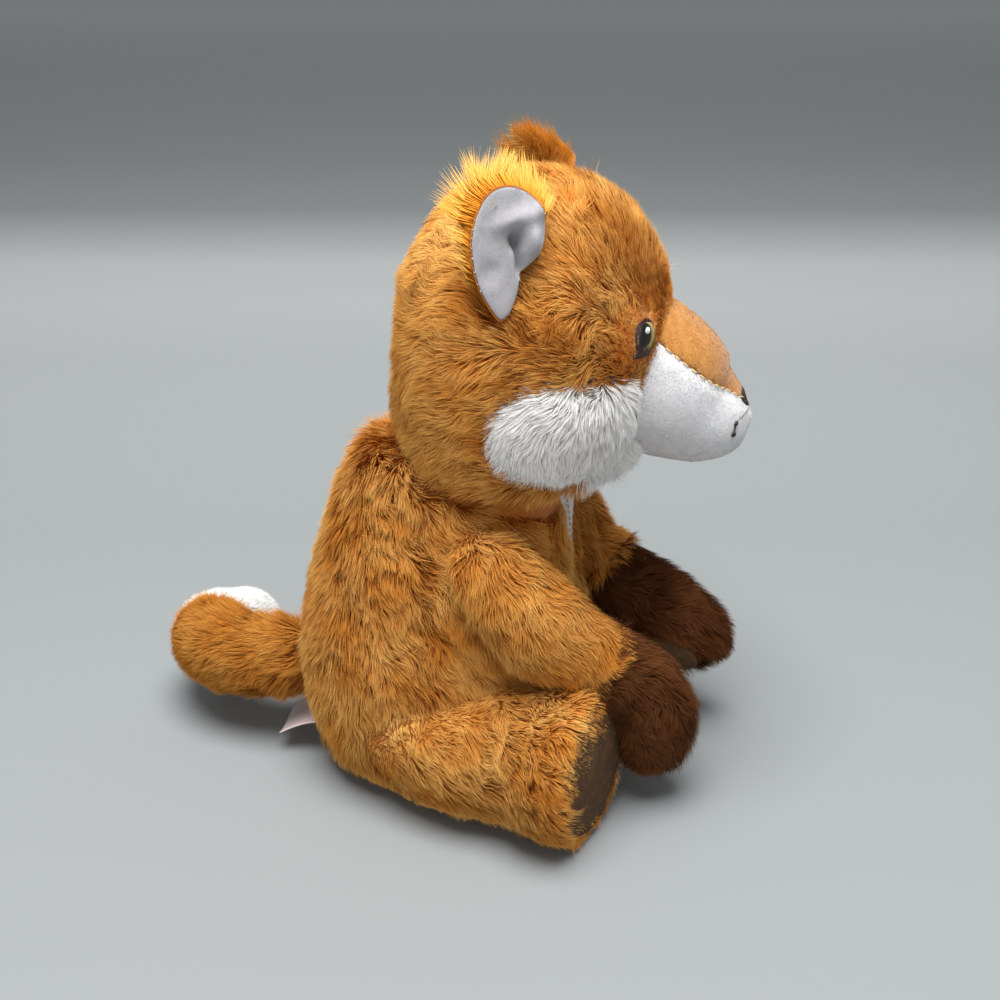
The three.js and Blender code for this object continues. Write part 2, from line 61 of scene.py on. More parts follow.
# The forms are drawn in millimetres on the toy's own axis; the neck's joint tells where that axis is
neckJoint = next(j for j in frame["joints"] if j["name"] == "head_turn")
neckOnAxis = -22.0
axisShift = np.array([0.0, neckJoint["pos_m"][1] / mm - neckOnAxis, 0.0])
sides = {"right": -1, "left": 1}


def placed(points):
    return (np.asarray(points, float).reshape(-1, 3) + axisShift) * mm


def sided(point, side):
    return np.array([side * point[0], point[1], point[2]], float)


def unit(v):
    v = np.asarray(v, float)
    return v / np.maximum(np.linalg.norm(v, axis=-1, keepdims=True), 1e-9)


def smoothStep(low, high, x):
    t = np.clip((np.asarray(x, float) - low) / (high - low), 0, 1)
    return t * t * (3 - 2 * t)


def smoothPath(points, closed=False, steps=60):  # an even curve through all the points
    p = np.array(points, float)
    p = np.vstack([p[-1], p, p[:2]]) if closed else np.vstack([2 * p[0] - p[1], p, 2 * p[-1] - p[-2]])
    line = []
    t = np.linspace(0, 1, steps, endpoint=False)[:, None]
    for i in range(1, len(p) - 2):
        p0, p1, p2, p3 = p[i - 1:i + 3]
        d0, d1, d2 = (max(((b - a) @ (b - a)) ** 0.25, 1e-6) for a, b in ((p0, p1), (p1, p2), (p2, p3)))
        t1 = ((p1 - p0) / d0 - (p2 - p0) / (d0 + d1) + (p2 - p1) / d1) * d1
        t2 = ((p2 - p1) / d1 - (p3 - p1) / (d1 + d2) + (p3 - p2) / d2) * d1
        line.append(p1 + t1 * t + (3 * (p2 - p1) - 2 * t1 - t2) * t ** 2
                    + (2 * (p1 - p2) + t1 + t2) * t ** 3)
    if not closed:
        line.append(p[-2][None])
    return np.vstack(line)


class Spine:  # a smooth line that gives its place and direction at a share of its length
    def __init__(self, points):
        self.line = smoothPath(points)
        self.runs = np.r_[0, np.cumsum(np.linalg.norm(np.diff(self.line, axis=0), axis=1))]
        self.length = self.runs[-1]

    def at(self, share):
        return np.array([np.interp(share * self.length, self.runs, self.line[:, k]) for k in range(3)])

    def direction(self, share):
        a, b = max(share - 0.004, 0), min(share + 0.004, 1)
        return unit(self.at(b) - self.at(a))


def gridFaces(rings, count):  # closed rings of points with a pole at each end
    last = rings * count + 1
    faces = [(0, 1 + (i + 1) % count, 1 + i) for i in range(count)]
    for r in range(rings - 1):
        a, b = 1 + r * count, 1 + (r + 1) * count
        faces += [(a + i, a + (i + 1) % count, b + (i + 1) % count, b + i) for i in range(count)]
    a = 1 + (rings - 1) * count
    return faces + [(last, a + i, a + (i + 1) % count) for i in range(count)]


# A rounded form along a spine: its stations give the share of its half width and half depth along the way
def softForm(form, spine=None, inset=0.0, between=(0, 1), around=56, rings=52):
    path = Spine(form["spine"] if spine is None else spine)
    stations = smoothPath(form["stations"])
    line = stations[np.linspace(0, len(stations) - 1, rings + 1).astype(int)][1:-1]
    first, last = between
    line = line[(line[:, 0] > first + 0.004) & (line[:, 0] < last - 0.004)]

    def station(share):
        return [share, *(np.interp(share, stations[:, 0], stations[:, k]) for k in (1, 2))]
    start = [station(first)] if first > 0 else []
    end = [station(last)] if last < 1 else []
    line = np.vstack(start + [line] + end)
    crosswise = np.array([0.0, 0, 1] if form.get("upright") else [1.0, 0, 0])
    turn = np.linspace(0, 2 * np.pi, around, endpoint=False)[:, None]
    trim = inset / path.length
    shares = np.clip(np.r_[first, line[:, 0], last] * (1 - 2 * trim) + trim, 0, 1)
    points, flow = [path.at(shares[0])[None]], []
    for share, (_, wide, deep) in zip(shares[1:-1], line):
        tangent = path.direction(share)
        across = unit(crosswise - tangent * (tangent @ crosswise))
        away = np.cross(tangent, across)
        points.append(path.at(share) + across * (form["halfWidth"] - inset) * wide * np.cos(turn)
                      + away * (form["halfDepth"] - inset) * deep * np.sin(turn))
        flow.append(np.repeat(tangent[None], around, axis=0))
    points = np.vstack(points + [path.at(shares[-1])[None]])
    flow = np.vstack([flow[0][:1], *flow, flow[-1][-1:]])
    return points, flow, gridFaces(len(line), around)


def meshOf(name, points, faces):
    mesh = bpy.data.meshes.new(name)
    mesh.from_pydata([tuple(p) for p in placed(points)], [], faces)
    mesh.update()
    mesh.shade_smooth()
    return mesh


def objectOf(name, mesh, body, material=None, stands=()):
    made = bpy.data.objects.new(name, mesh)
    scene.collection.objects.link(made)
    if material:
        mesh.materials.clear()
        mesh.materials.append(material)
    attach(made, body)
    if stands:
        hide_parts(*stands)
    return made


def normalsOf(points, faces):
    mesh = meshOf("scratch", points, faces)
    normals = np.zeros(len(points) * 3)
    mesh.vertices.foreach_get("normal", normals)
    bpy.data.meshes.remove(mesh)
    return normals.reshape(-1, 3)


def treeOf(points, faces):
    return BVHTree.FromPolygons([tuple(p) for p in points], [tuple(f) for f in faces])


def heightsOver(tree, points):  # how far each point lies outside a closed form; negative is inside
    out = np.empty(len(points))
    for i, p in enumerate(points):
        near, normal, _, gap = tree.find_nearest(Vector(p))
        out[i] = math.copysign(gap, (Vector(p) - near).dot(normal))
    return out


def draped(tree, points, lift):  # the points laid on a form, lifted off it along its normal
    lift = np.broadcast_to(lift, len(points))
    out = np.empty((len(points), 3))
    for i, p in enumerate(points):
        near, normal, _, _ = tree.find_nearest(Vector(p))
        out[i] = np.array(near) + np.array(normal) * lift[i]
    return out


def nodeAdder(tree):  # a function that adds a node with its settings and with each input linked or set
    def add(kind, inputs=None, **settings):
        node = tree.nodes.new(kind)
        for key, value in settings.items():
            setattr(node, key, value)
        for key, value in (inputs or {}).items():
            if isinstance(value, bpy.types.NodeSocket):
                tree.links.new(value, node.inputs[key])
            else:
                node.inputs[key].default_value = value
        return node
    return add


# Materials
def newMaterial(name):
    material = bpy.data.materials.new(name)
    material.use_nodes = True
    tree = material.node_tree
    return material, tree, tree.nodes["Principled BSDF"], nodeAdder(tree)


def setShader(shader, values):
    for name, value in values.items():
        shader.inputs[name].default_value = value


def linear(rgb):  # a colour as it is seen, from 0 to 255, as the light it gives back
    c = np.array(rgb, float) / 255
    return (*np.where(c <= 0.04045, c / 12.92, ((c + 0.055) / 1.055) ** 2.4), 1.0)


def rampOf(add, factor, stops):
    ramp = add("ShaderNodeValToRGB", {"Fac": factor})
    elements = ramp.color_ramp.elements
    while len(elements) < len(stops):
        elements.new(0.5)
    for element, (place, colour) in zip(elements, stops):
        element.position = place
        element.color = linear(colour)
    return ramp.outputs["Color"]


strandLook = {"places": (0.05, 0.4, 0.95),  # root, middle and tip on the colour ramps
              "ownNormal": 1.4}  # how much a strand's own side counts in its shading


# The ramps run from a dark root, painted shade between the strands, to a paler tip
def pileMaterial(name, dark, light):  # colours from root to tip, for the darkest and the palest strands
    material, tree, shader, add = newMaterial(name)
    uv = add("ShaderNodeUVMap", uv_map="OFBake")
    split = add("ShaderNodeSeparateXYZ", {"Vector": uv.outputs["UV"]})
    mix = add("ShaderNodeMix", {"Factor": split.outputs["X"]}, data_type="RGBA")
    for colours, side in ((dark, "A"), (light, "B")):
        ramp = rampOf(add, split.outputs["Y"], list(zip(strandLook["places"], colours)))
        tree.links.new(ramp, mix.inputs[side])
    tree.links.new(mix.outputs["Result"], shader.inputs["Base Color"])
    lit = add("ShaderNodeAttribute", attribute_name="shade").outputs["Vector"]
    turned = add("ShaderNodeVectorTransform", {"Vector": lit},
                 vector_type="NORMAL", convert_from="OBJECT", convert_to="WORLD")
    normal = add("ShaderNodeNewGeometry").outputs["Normal"]
    own = add("ShaderNodeVectorMath", {0: normal, "Scale": strandLook["ownNormal"]}, operation="SCALE")
    both = add("ShaderNodeVectorMath", {0: turned.outputs["Vector"], 1: own.outputs["Vector"]},
               operation="ADD")
    mixed = add("ShaderNodeVectorMath", {0: both.outputs["Vector"]}, operation="NORMALIZE")
    tree.links.new(mixed.outputs["Vector"], shader.inputs["Normal"])
    setShader(shader, {"Roughness": 0.9, "Sheen Weight": 0.1, "Sheen Roughness": 0.5,
                       "Sheen Tint": linear(light[-1]), "Specular IOR Level": 0.05})
    return material


def clothMaterial(name, low, high, patchSize=6.0, grain=0.35, bump=0.25, sheen=0.4):
    material, tree, shader, add = newMaterial(name)
    place = add("ShaderNodeTexCoord").outputs["Object"]
    patches = add("ShaderNodeTexNoise", {"Vector": place, "Scale": 1 / (patchSize * mm),
                                         "Detail": 4.0, "Roughness": 0.6})
    fine = add("ShaderNodeTexNoise", {"Vector": place, "Scale": 1 / (grain * mm), "Detail": 3.0})
    both = add("ShaderNodeMath", {0: patches.outputs["Fac"], 1: fine.outputs["Fac"]}, operation="ADD")
    half = add("ShaderNodeMapRange", {"Value": both.outputs[0], "From Min": 0.7, "From Max": 1.3})
    colour = rampOf(add, half.outputs["Result"], [(0.0, low), (1.0, high)])
    tree.links.new(colour, shader.inputs["Base Color"])
    relief = add("ShaderNodeBump", {"Height": fine.outputs["Fac"], "Strength": bump, "Distance": 0.4 * mm})
    tree.links.new(relief.outputs["Normal"], shader.inputs["Normal"])
    setShader(shader, {"Roughness": 0.85, "Sheen Weight": sheen, "Specular IOR Level": 0.25})
    return material


def threadMaterial(name, low, high, size=0.5, roughness=0.45):
    material, tree, shader, add = newMaterial(name)
    place = add("ShaderNodeTexCoord").outputs["Object"]
    fine = add("ShaderNodeTexNoise", {"Vector": place, "Scale": 1 / (size * mm), "Detail": 2.0})
    colour = rampOf(add, fine.outputs["Fac"], [(0.3, low), (0.7, high)])
    tree.links.new(colour, shader.inputs["Base Color"])
    relief = add("ShaderNodeBump", {"Height": fine.outputs["Fac"], "Strength": 0.2, "Distance": 0.2 * mm})
    tree.links.new(relief.outputs["Normal"], shader.inputs["Normal"])
    setShader(shader, {"Roughness": roughness})
    return material


orangePile = pileMaterial("long orange pile",
                          [(120, 46, 4), (162, 78, 12), (234, 152, 58)],
                          [(150, 67, 8), (198, 108, 27), (255, 210, 122)])
# The tail's pile is the body's orange pile made darker: painted shade
shadedTailPile = pileMaterial("tail orange pile",
                        [(98, 40, 4), (138, 68, 11), (192, 118, 40)],
                        [(122, 56, 8), (168, 94, 24), (220, 162, 80)])
# The ears' pile is the body's orange pile made paler: painted light
litEarPile = pileMaterial("pale orange pile",
                              [(204, 114, 24), (230, 146, 44), (246, 184, 80)],
                              [(220, 134, 36), (244, 170, 64), (255, 216, 124)])
whitePile = pileMaterial("long white pile",
                         [(236, 232, 226), (243, 240, 236), (249, 247, 244)],
                         [(242, 239, 233), (248, 246, 243), (253, 252, 250)])
brownPile = pileMaterial("long brown pile",
                         [(34, 15, 5), (60, 30, 13), (88, 50, 26)],
                         [(46, 22, 9), (80, 43, 21), (130, 82, 48)])
orangeBacking = clothMaterial("orange backing", (180, 102, 28), (212, 130, 44))
whiteBacking = clothMaterial("white backing", (224, 221, 216), (242, 240, 236))
brownBacking = clothMaterial("brown backing", (34, 20, 14), (56, 35, 26))
orangeVelour = clothMaterial("short orange velour", (158, 99, 36), (202, 140, 68), patchSize=3)
whiteVelour = clothMaterial("short white velour", (206, 205, 207), (230, 229, 229), patchSize=4)
# The ear lining is the white velour greyed: painted shade
shadedLiningVelour = clothMaterial("white ear velour", (148, 146, 150), (178, 176, 178), patchSize=4)
suede = clothMaterial("brown suede", (64, 42, 24), (96, 68, 42),
                      patchSize=3.5, grain=0.5, bump=0.35, sheen=0.0)
fibre = clothMaterial("polyester fibre", (226, 226, 222), (248, 248, 246), grain=0.8, bump=0.6)
pelletCloth = clothMaterial("pellet bag cloth", (196, 200, 204), (224, 227, 230), grain=2.6, bump=0.9)
blackThread = threadMaterial("black thread", (12, 9, 8), (34, 27, 24))
brownThread = threadMaterial("dark brown thread", (40, 10, 12), (68, 26, 24))
creaseThread = threadMaterial("pale grey thread", (138, 130, 128), (170, 163, 160), roughness=0.7)
noseThread = threadMaterial("nose thread", (44, 30, 30), (76, 56, 54), roughness=0.6)
goldThread = threadMaterial("golden thread", (138, 122, 66), (176, 160, 104))
whiteThread = threadMaterial("white thread", (226, 226, 228), (250, 250, 250))
paleThread = threadMaterial("pale seam thread", (214, 172, 112), (240, 208, 152))
pinkThread = threadMaterial("pale pink thread", (206, 160, 148), (232, 192, 180))
satin = threadMaterial("satin tape", (206, 184, 182), (228, 210, 207), size=0.3, roughness=0.35)
orangeFuzz = pileMaterial("orange nap", [(152, 92, 30), (178, 117, 48), (200, 142, 70)],
                          [(176, 113, 45), (202, 142, 70), (226, 172, 100)])
whiteFuzz = pileMaterial("white nap", [(202, 201, 203), (217, 216, 217), (230, 229, 230)],
                         [(213, 212, 213), (228, 227, 228), (243, 242, 242)])
# The lining's nap is greyed as well: painted shade
shadedLiningFuzz = pileMaterial("ear nap", [(146, 144, 148), (160, 158, 161), (174, 172, 174)],
                          [(158, 156, 159), (174, 172, 174), (192, 190, 191)])
print("materials: made")


# Pile: strands that grow on a base, lean along its comb direction, wave and gather into tufts
def strandObject():  # one flat strand that tapers to a tip
    rows = [(0.0, 1.0), (0.5, 0.82)]
    points = [(side * wide, 0, along) for along, wide in rows for side in (-1, 1)] + [(0, 0, 1)]
    mesh = bpy.data.meshes.new("strand")
    mesh.from_pydata(points, [], [(0, 2, 3, 1), (2, 4, 3)])
    for name, column in (("across", 0), ("along", 2)):
        mesh.attributes.new(name, "FLOAT", "POINT").data.foreach_set("value", [p[column] for p in points])
    made = bpy.data.objects.new("strand", mesh)
    scene.collection.objects.link(made)
    return made


def pileTree():  # reads comb, pile and cover from the ground: the way, the height and the share of strands
    tree = bpy.data.node_groups.new("pile", "GeometryNodeTree")
    face = tree.interface
    face.new_socket("Geometry", in_out="INPUT", socket_type="NodeSocketGeometry")
    face.new_socket("Geometry", in_out="OUTPUT", socket_type="NodeSocketGeometry")
    kinds = {"Strand": "Object", "Material": "Material", "Seed": "Int"}
    for name in ("Strand", "Density", "Length", "Width", "Lay", "Wave", "Wave Size", "Stray", "Tuft Size",
                 "Tuft Pull", "Curl", "Lowest", "Skyward", "Seed", "Material"):
        face.new_socket(name, in_out="INPUT", socket_type="NodeSocket" + kinds.get(name, "Float"))
    given = tree.nodes.new("NodeGroupInput").outputs
    add = nodeAdder(tree)

    def calc(operation, *values):
        return add("ShaderNodeMath", dict(enumerate(values)), operation=operation).outputs[0]

    def vector(operation, *values):
        return add("ShaderNodeVectorMath", dict(enumerate(values)), operation=operation).outputs[0]

    def scaled(v, factor):
        return add("ShaderNodeVectorMath", {0: v, "Scale": factor}, operation="SCALE").outputs[0]

    def named(name, kind="FLOAT"):
        return add("GeometryNodeInputNamedAttribute", {"Name": name}, data_type=kind).outputs["Attribute"]

    def stored(geometry, name, value, kind="FLOAT", domain="POINT"):
        return add("GeometryNodeStoreNamedAttribute", {"Geometry": geometry, "Name": name, "Value": value},
                   data_type=kind, domain=domain).outputs["Geometry"]

    def dot(a, b):
        return add("ShaderNodeVectorMath", {0: a, 1: b}, operation="DOT_PRODUCT").outputs["Value"]

    def random(low, high, seed):
        ends = {2: low, 3: high, "Seed": calc("ADD", given["Seed"], seed)}
        return add("FunctionNodeRandomValue", ends, data_type="FLOAT").outputs[1]

    def anyWay(seed):  # a random vector
        ends = {0: (-1, -1, -1), 1: (1, 1, 1), "Seed": calc("ADD", given["Seed"], seed)}
        return add("FunctionNodeRandomValue", ends, data_type="FLOAT_VECTOR").outputs[0]

    # Where the strands stand, and what each one is given there
    scatter = add("GeometryNodeDistributePointsOnFaces", {
        "Mesh": given["Geometry"], "Seed": given["Seed"],
        "Density": calc("MULTIPLY", given["Density"], named("cover"))})
    place = add("GeometryNodeInputPosition").outputs[0]
    perSize = calc("DIVIDE", 1.0, given["Wave Size"])
    waves = add("ShaderNodeTexNoise", {"Vector": place, "Scale": perSize, "Detail": 1.5})
    patches = add("ShaderNodeTexNoise", {"Vector": place, "Detail": 3.0,
                                         "Scale": calc("MULTIPLY", perSize, 0.7)})
    swing = vector("SUBTRACT", waves.outputs["Color"], (0.5, 0.5, 0.5))
    swing = scaled(swing, calc("MULTIPLY", given["Wave"], 4.0))
    leaning = vector("ADD", named("comb", "FLOAT_VECTOR"), swing)
    strayed = vector("ADD", leaning, scaled(anyWay(1), given["Stray"]))
    normal = scatter.outputs["Normal"]
    outwards = calc("MULTIPLY", dot(strayed, normal), 0.85)
    flat = vector("NORMALIZE", vector("SUBTRACT", strayed, scaled(normal, outwards)))
    shade = vector("ADD", vector("ADD", normal, scaled(flat, 0.35)), scaled(anyWay(5), 0.22))
    sky = add("ShaderNodeCombineXYZ", {"Z": given["Skyward"]}).outputs[0]
    shade = vector("ADD", shade, sky)
    tufts = add("ShaderNodeTexVoronoi", {"Vector": place, "Scale": calc("DIVIDE", 1.0, given["Tuft Size"])})
    toTuft = scaled(vector("SUBTRACT", tufts.outputs["Position"], place), given["Tuft Pull"])
    toTuft = vector("SUBTRACT", toTuft, scaled(normal, dot(toTuft, normal)))
    patch = calc("MULTIPLY", calc("SUBTRACT", patches.outputs["Fac"], 0.5), 2.4)
    tone = add("ShaderNodeClamp", {"Value": calc("ADD", patch, random(0.3, 0.7, 2))}).outputs[0]
    long = calc("MULTIPLY", calc("MULTIPLY", named("pile"), given["Length"]), random(0.72, 1.12, 3))
    points = scatter.outputs["Points"]
    for name, value, kind in (
            ("root", place, "FLOAT_VECTOR"), ("upright", normal, "FLOAT_VECTOR"),
            ("flow", flat, "FLOAT_VECTOR"), ("shade", vector("NORMALIZE", shade), "FLOAT_VECTOR"),
            ("gather", toTuft, "FLOAT_VECTOR"), ("roll", anyWay(4), "FLOAT_VECTOR"),
            ("tone", tone, "FLOAT"), ("size", long, "FLOAT"),
            ("phase", calc("MULTIPLY", waves.outputs["Fac"], 16.0), "FLOAT")):
        points = stored(points, name, value, kind)
    strand = add("GeometryNodeObjectInfo", {"Object": given["Strand"]}).outputs["Geometry"]
    copies = add("GeometryNodeInstanceOnPoints", {"Points": points, "Instance": strand})
    real = add("GeometryNodeRealizeInstances", {"Geometry": copies.outputs["Instances"]})

    # How each point of a strand is bent from its root
    along, across, size = named("along"), named("across"), named("size")
    upright, flow = named("upright", "FLOAT_VECTOR"), named("flow", "FLOAT_VECTOR")
    drop = calc("MULTIPLY", calc("MULTIPLY", given["Lay"], 0.62), along)
    rise = calc("MULTIPLY", size, calc("MULTIPLY", along, calc("SUBTRACT", 1.0, drop)))
    lean = calc("MULTIPLY", calc("MULTIPLY", given["Lay"], 0.95), calc("POWER", along, 1.6))
    beside = vector("CROSS_PRODUCT", upright, flow)
    rolled = vector("NORMALIZE", vector("ADD", beside, scaled(named("roll", "FLOAT_VECTOR"), 0.55)))
    spot = vector("ADD", named("root", "FLOAT_VECTOR"), scaled(upright, calc("SUBTRACT", rise, 0.4 * mm)))
    spot = vector("ADD", spot, scaled(flow, calc("MULTIPLY", size, lean)))
    spot = vector("ADD", spot, scaled(named("gather", "FLOAT_VECTOR"), calc("POWER", along, 2.0)))
    wide = calc("MULTIPLY", across, calc("MULTIPLY", given["Width"], 0.5))
    spot = vector("ADD", spot, scaled(rolled, wide))
    phase = named("phase")
    later = calc("ADD", phase, calc("MULTIPLY", along, 3.6))
    curl = calc("MULTIPLY", calc("SUBTRACT", calc("SINE", later), calc("SINE", phase)), size)
    spot = vector("ADD", spot, scaled(vector("NORMALIZE", beside), calc("MULTIPLY", curl, given["Curl"])))
    split = add("ShaderNodeSeparateXYZ", {"Vector": spot}).outputs
    height = calc("MAXIMUM", split["Z"], given["Lowest"])
    level = add("ShaderNodeCombineXYZ", {"X": split["X"], "Y": split["Y"], "Z": height}).outputs[0]
    bent = add("GeometryNodeSetPosition", {"Geometry": real.outputs["Geometry"], "Position": level})

    # Its place on the colour ramps: u is its tone, v the share of its length; the dark root end is painted
    # shade deep in the pile, reaching further up a longer strand
    u = calc("ADD", calc("MULTIPLY", named("tone"), 0.86), 0.07)
    u = calc("ADD", u, calc("MULTIPLY", across, 0.03))
    # deep: how much of the root's painted shade a strand gets, by its length
    deep = calc("MINIMUM", calc("DIVIDE", size, 9 * mm), 1.0)
    v = calc("SUBTRACT", 0.95, calc("MULTIPLY", calc("MULTIPLY", calc("SUBTRACT", 1.0, along), 0.9), deep))
    uv = add("ShaderNodeCombineXYZ", {"X": u, "Y": v}).outputs[0]
    mapped = stored(bent.outputs["Geometry"], "OFBake", uv, "FLOAT2", "CORNER")
    smooth = add("GeometryNodeSetShadeSmooth", {"Geometry": mapped}).outputs["Geometry"]
    coloured = add("GeometryNodeSetMaterial", {"Geometry": smooth, "Material": given["Material"]})
    tree.links.new(coloured.outputs["Geometry"], tree.nodes.new("NodeGroupOutput").inputs[0])
    return tree


strand = strandObject()
pile = pileTree()
keptAttributes = ("OFBake", "shade", "sharp_face", "material_index")

# Density in strands a square metre, length as a share of the pile's height, sizes in metres
longPile = {"Density": 4.6e6, "Length": 1.25, "Width": 0.33 * mm, "Lay": 0.66, "Wave": 0.85,
            "Wave Size": 10 * mm, "Stray": 0.2, "Tuft Size": 5 * mm, "Tuft Pull": 0.28, "Curl": 0.09,
            "Lowest": 0.3 * mm, "Skyward": 0.0}
shortNap = {"Density": 6.0e6, "Width": 0.3 * mm, "Lay": 0.8, "Tuft Pull": 0.0, "Stray": 0.45}


def plainMesh(made):
    bpy.context.view_layer.update()
    return bpy.data.meshes.new_from_object(made.evaluated_get(bpy.context.evaluated_depsgraph_get()))


def grownFrom(mesh, tree, inputs):  # the plain mesh that a node tree makes of another mesh
    path = bpy.data.objects.new(mesh.name + "_path", mesh)
    scene.collection.objects.link(path)
    modifier = path.modifiers.new(tree.name, "NODES")
    modifier.node_group = tree
    for item in tree.interface.items_tree:
        if item.in_out == "INPUT" and item.name in inputs:
            modifier[item.identifier] = inputs[item.name]
    grown = plainMesh(path)
    bpy.data.objects.remove(path)
    bpy.data.meshes.remove(mesh)
    return grown


def growPile(name, body, slot, material, points, faces, comb, height, cover, **values):
    mesh = meshOf(name + "_ground", points, faces)
    mesh.attributes.new("comb", "FLOAT_VECTOR", "POINT").data.foreach_set("vector", np.ravel(comb))
    mesh.attributes.new("pile", "FLOAT", "POINT").data.foreach_set("value", np.asarray(height, float) * mm)
    mesh.attributes.new("cover", "FLOAT", "POINT").data.foreach_set("value", np.asarray(cover, float))
    grown = grownFrom(mesh, pile, {**longPile, **values, "Strand": strand, "Material": material})
    for attribute in [a.name for a in grown.attributes if not a.is_internal and not a.is_required]:
        if attribute not in keptAttributes:
            grown.attributes.remove(grown.attributes[attribute])
    made = objectOf(name, grown, body)
    print(f"pile: {name}, {len(grown.polygons) // 2} strands")
    return made


def combAlong(direction, normals):  # the direction laid flat on the surface
    direction = np.broadcast_to(direction, normals.shape)
    return unit(direction - normals * (direction * normals).sum(axis=1, keepdims=True))


# Removes the strands that come out in front of a cloth
def clearOf(made, tree, facing, reach=40.0, margin=0.4):
    mesh = bmesh.new()
    mesh.from_mesh(made.data)
    mesh.verts.ensure_lookup_table()
    facing = Vector(facing)
    count = len(strand.data.vertices)
    lost = []
    for start in range(0, len(mesh.verts), count):
        own = mesh.verts[start:start + count]
        for vertex in own:
            before = vertex.co / mm - Vector(axisShift) + facing * reach
            distance = tree.ray_cast(before, -facing)[3]
            if distance is not None and distance > reach - margin:
                lost += own
                break
    bmesh.ops.delete(mesh, geom=lost, context="VERTS")
    mesh.to_mesh(made.data)
    mesh.free()


# Threads: round yarn along each line of points, for embroidery and seams
def threadTree():
    tree = bpy.data.node_groups.new("threads", "GeometryNodeTree")
    face = tree.interface
    face.new_socket("Geometry", in_out="INPUT", socket_type="NodeSocketGeometry")
    face.new_socket("Geometry", in_out="OUTPUT", socket_type="NodeSocketGeometry")
    for name, kind in (("Thickness", "Float"), ("Sides", "Int"), ("Material", "Material")):
        face.new_socket(name, in_out="INPUT", socket_type="NodeSocket" + kind)
    given = tree.nodes.new("NodeGroupInput").outputs
    add = nodeAdder(tree)
    half = add("ShaderNodeMath", {0: given["Thickness"], 1: 0.5}, operation="MULTIPLY").outputs[0]
    curve = add("GeometryNodeMeshToCurve", {"Mesh": given["Geometry"]}).outputs["Curve"]
    ring = add("GeometryNodeCurvePrimitiveCircle", {"Resolution": given["Sides"], "Radius": half})
    tube = add("GeometryNodeCurveToMesh", {"Curve": curve, "Profile Curve": ring.outputs["Curve"],
                                           "Fill Caps": True})
    real = add("GeometryNodeRealizeInstances", {"Geometry": tube.outputs["Mesh"]}).outputs["Geometry"]
    smooth = add("GeometryNodeSetShadeSmooth", {"Geometry": real}).outputs["Geometry"]
    coloured = add("GeometryNodeSetMaterial", {"Geometry": smooth, "Material": given["Material"]})
    tree.links.new(coloured.outputs["Geometry"], tree.nodes.new("NodeGroupOutput").inputs[0])
    return tree


threads = threadTree()


def sewn(name, body, material, lines, thickness, stands=(), sides=6):
    edges, points = [], []
    for line in lines:
        edges += [(len(points) + i, len(points) + i + 1) for i in range(len(line) - 1)]
        points += list(line)
    mesh = bpy.data.meshes.new(name)
    mesh.from_pydata([tuple(p) for p in placed(points)], edges, [])
    yarn = grownFrom(mesh, threads, {"Thickness": thickness * mm, "Sides": sides, "Material": material})
    return objectOf(name, yarn, body, stands=stands)


def stitchesAlong(line, spacing, length, lift, lifts):  # short threads that rise from cloth and go back in
    path = Spine(line)
    count = max(int(path.length / spacing), 1)
    found = []
    for i in range(count):
        middle = (i + 0.5) / count
        half = 0.5 * length / path.length
        shares = np.clip(middle + half * np.array([-1, -0.8, 0, 0.8, 1]), 0, 1)
        heights = lift * np.array([-1.2, 0.55, 1, 0.55, -1.2])
        places = np.array([path.at(s) for s in shares])
        normal = lifts(places[2:3])[0]
        found.append(places + normal * heights[:, None])
    return found


def thickened(made, thickness):
    wall = made.modifiers.new("wall", "SOLIDIFY")
    wall.thickness = thickness * mm
    wall.offset = -1
    solid = plainMesh(made)
    surface = made.data
    made.modifiers.clear()
    made.data = solid
    bpy.data.meshes.remove(surface)
    return made


def trimmedMesh(name, points, faces, cuts):  # a closed form cut flat by planes and closed again
    mesh = meshOf(name, points, faces)
    bm = bmesh.new()
    bm.from_mesh(mesh)
    for point, normal in cuts:
        everything = bm.verts[:] + bm.edges[:] + bm.faces[:]
        bmesh.ops.bisect_plane(bm, geom=everything, plane_co=placed(point)[0], plane_no=normal,
                               clear_outer=True)
        rim = [e for e in bm.edges if e.is_boundary]
        bmesh.ops.holes_fill(bm, edges=rim, sides=0)
    bmesh.ops.triangulate(bm, faces=[f for f in bm.faces if len(f.verts) > 4])
    bm.to_mesh(mesh)
    bm.free()
    return mesh


def rippled(points, normals, size, amount, seed=0.0):  # soft swells and hollows, each about size wide
    swell = [noise.noise(Vector(p) / size + Vector((seed, 0, 0))) for p in points]
    return points + normals * (np.array(swell) * amount)[:, None]


def ovalOutline(halfWidth, halfHeight, corners):
    turn = np.linspace(0, 2 * np.pi, corners, endpoint=False)
    return np.c_[halfWidth * np.cos(turn), halfHeight * np.sin(turn)]


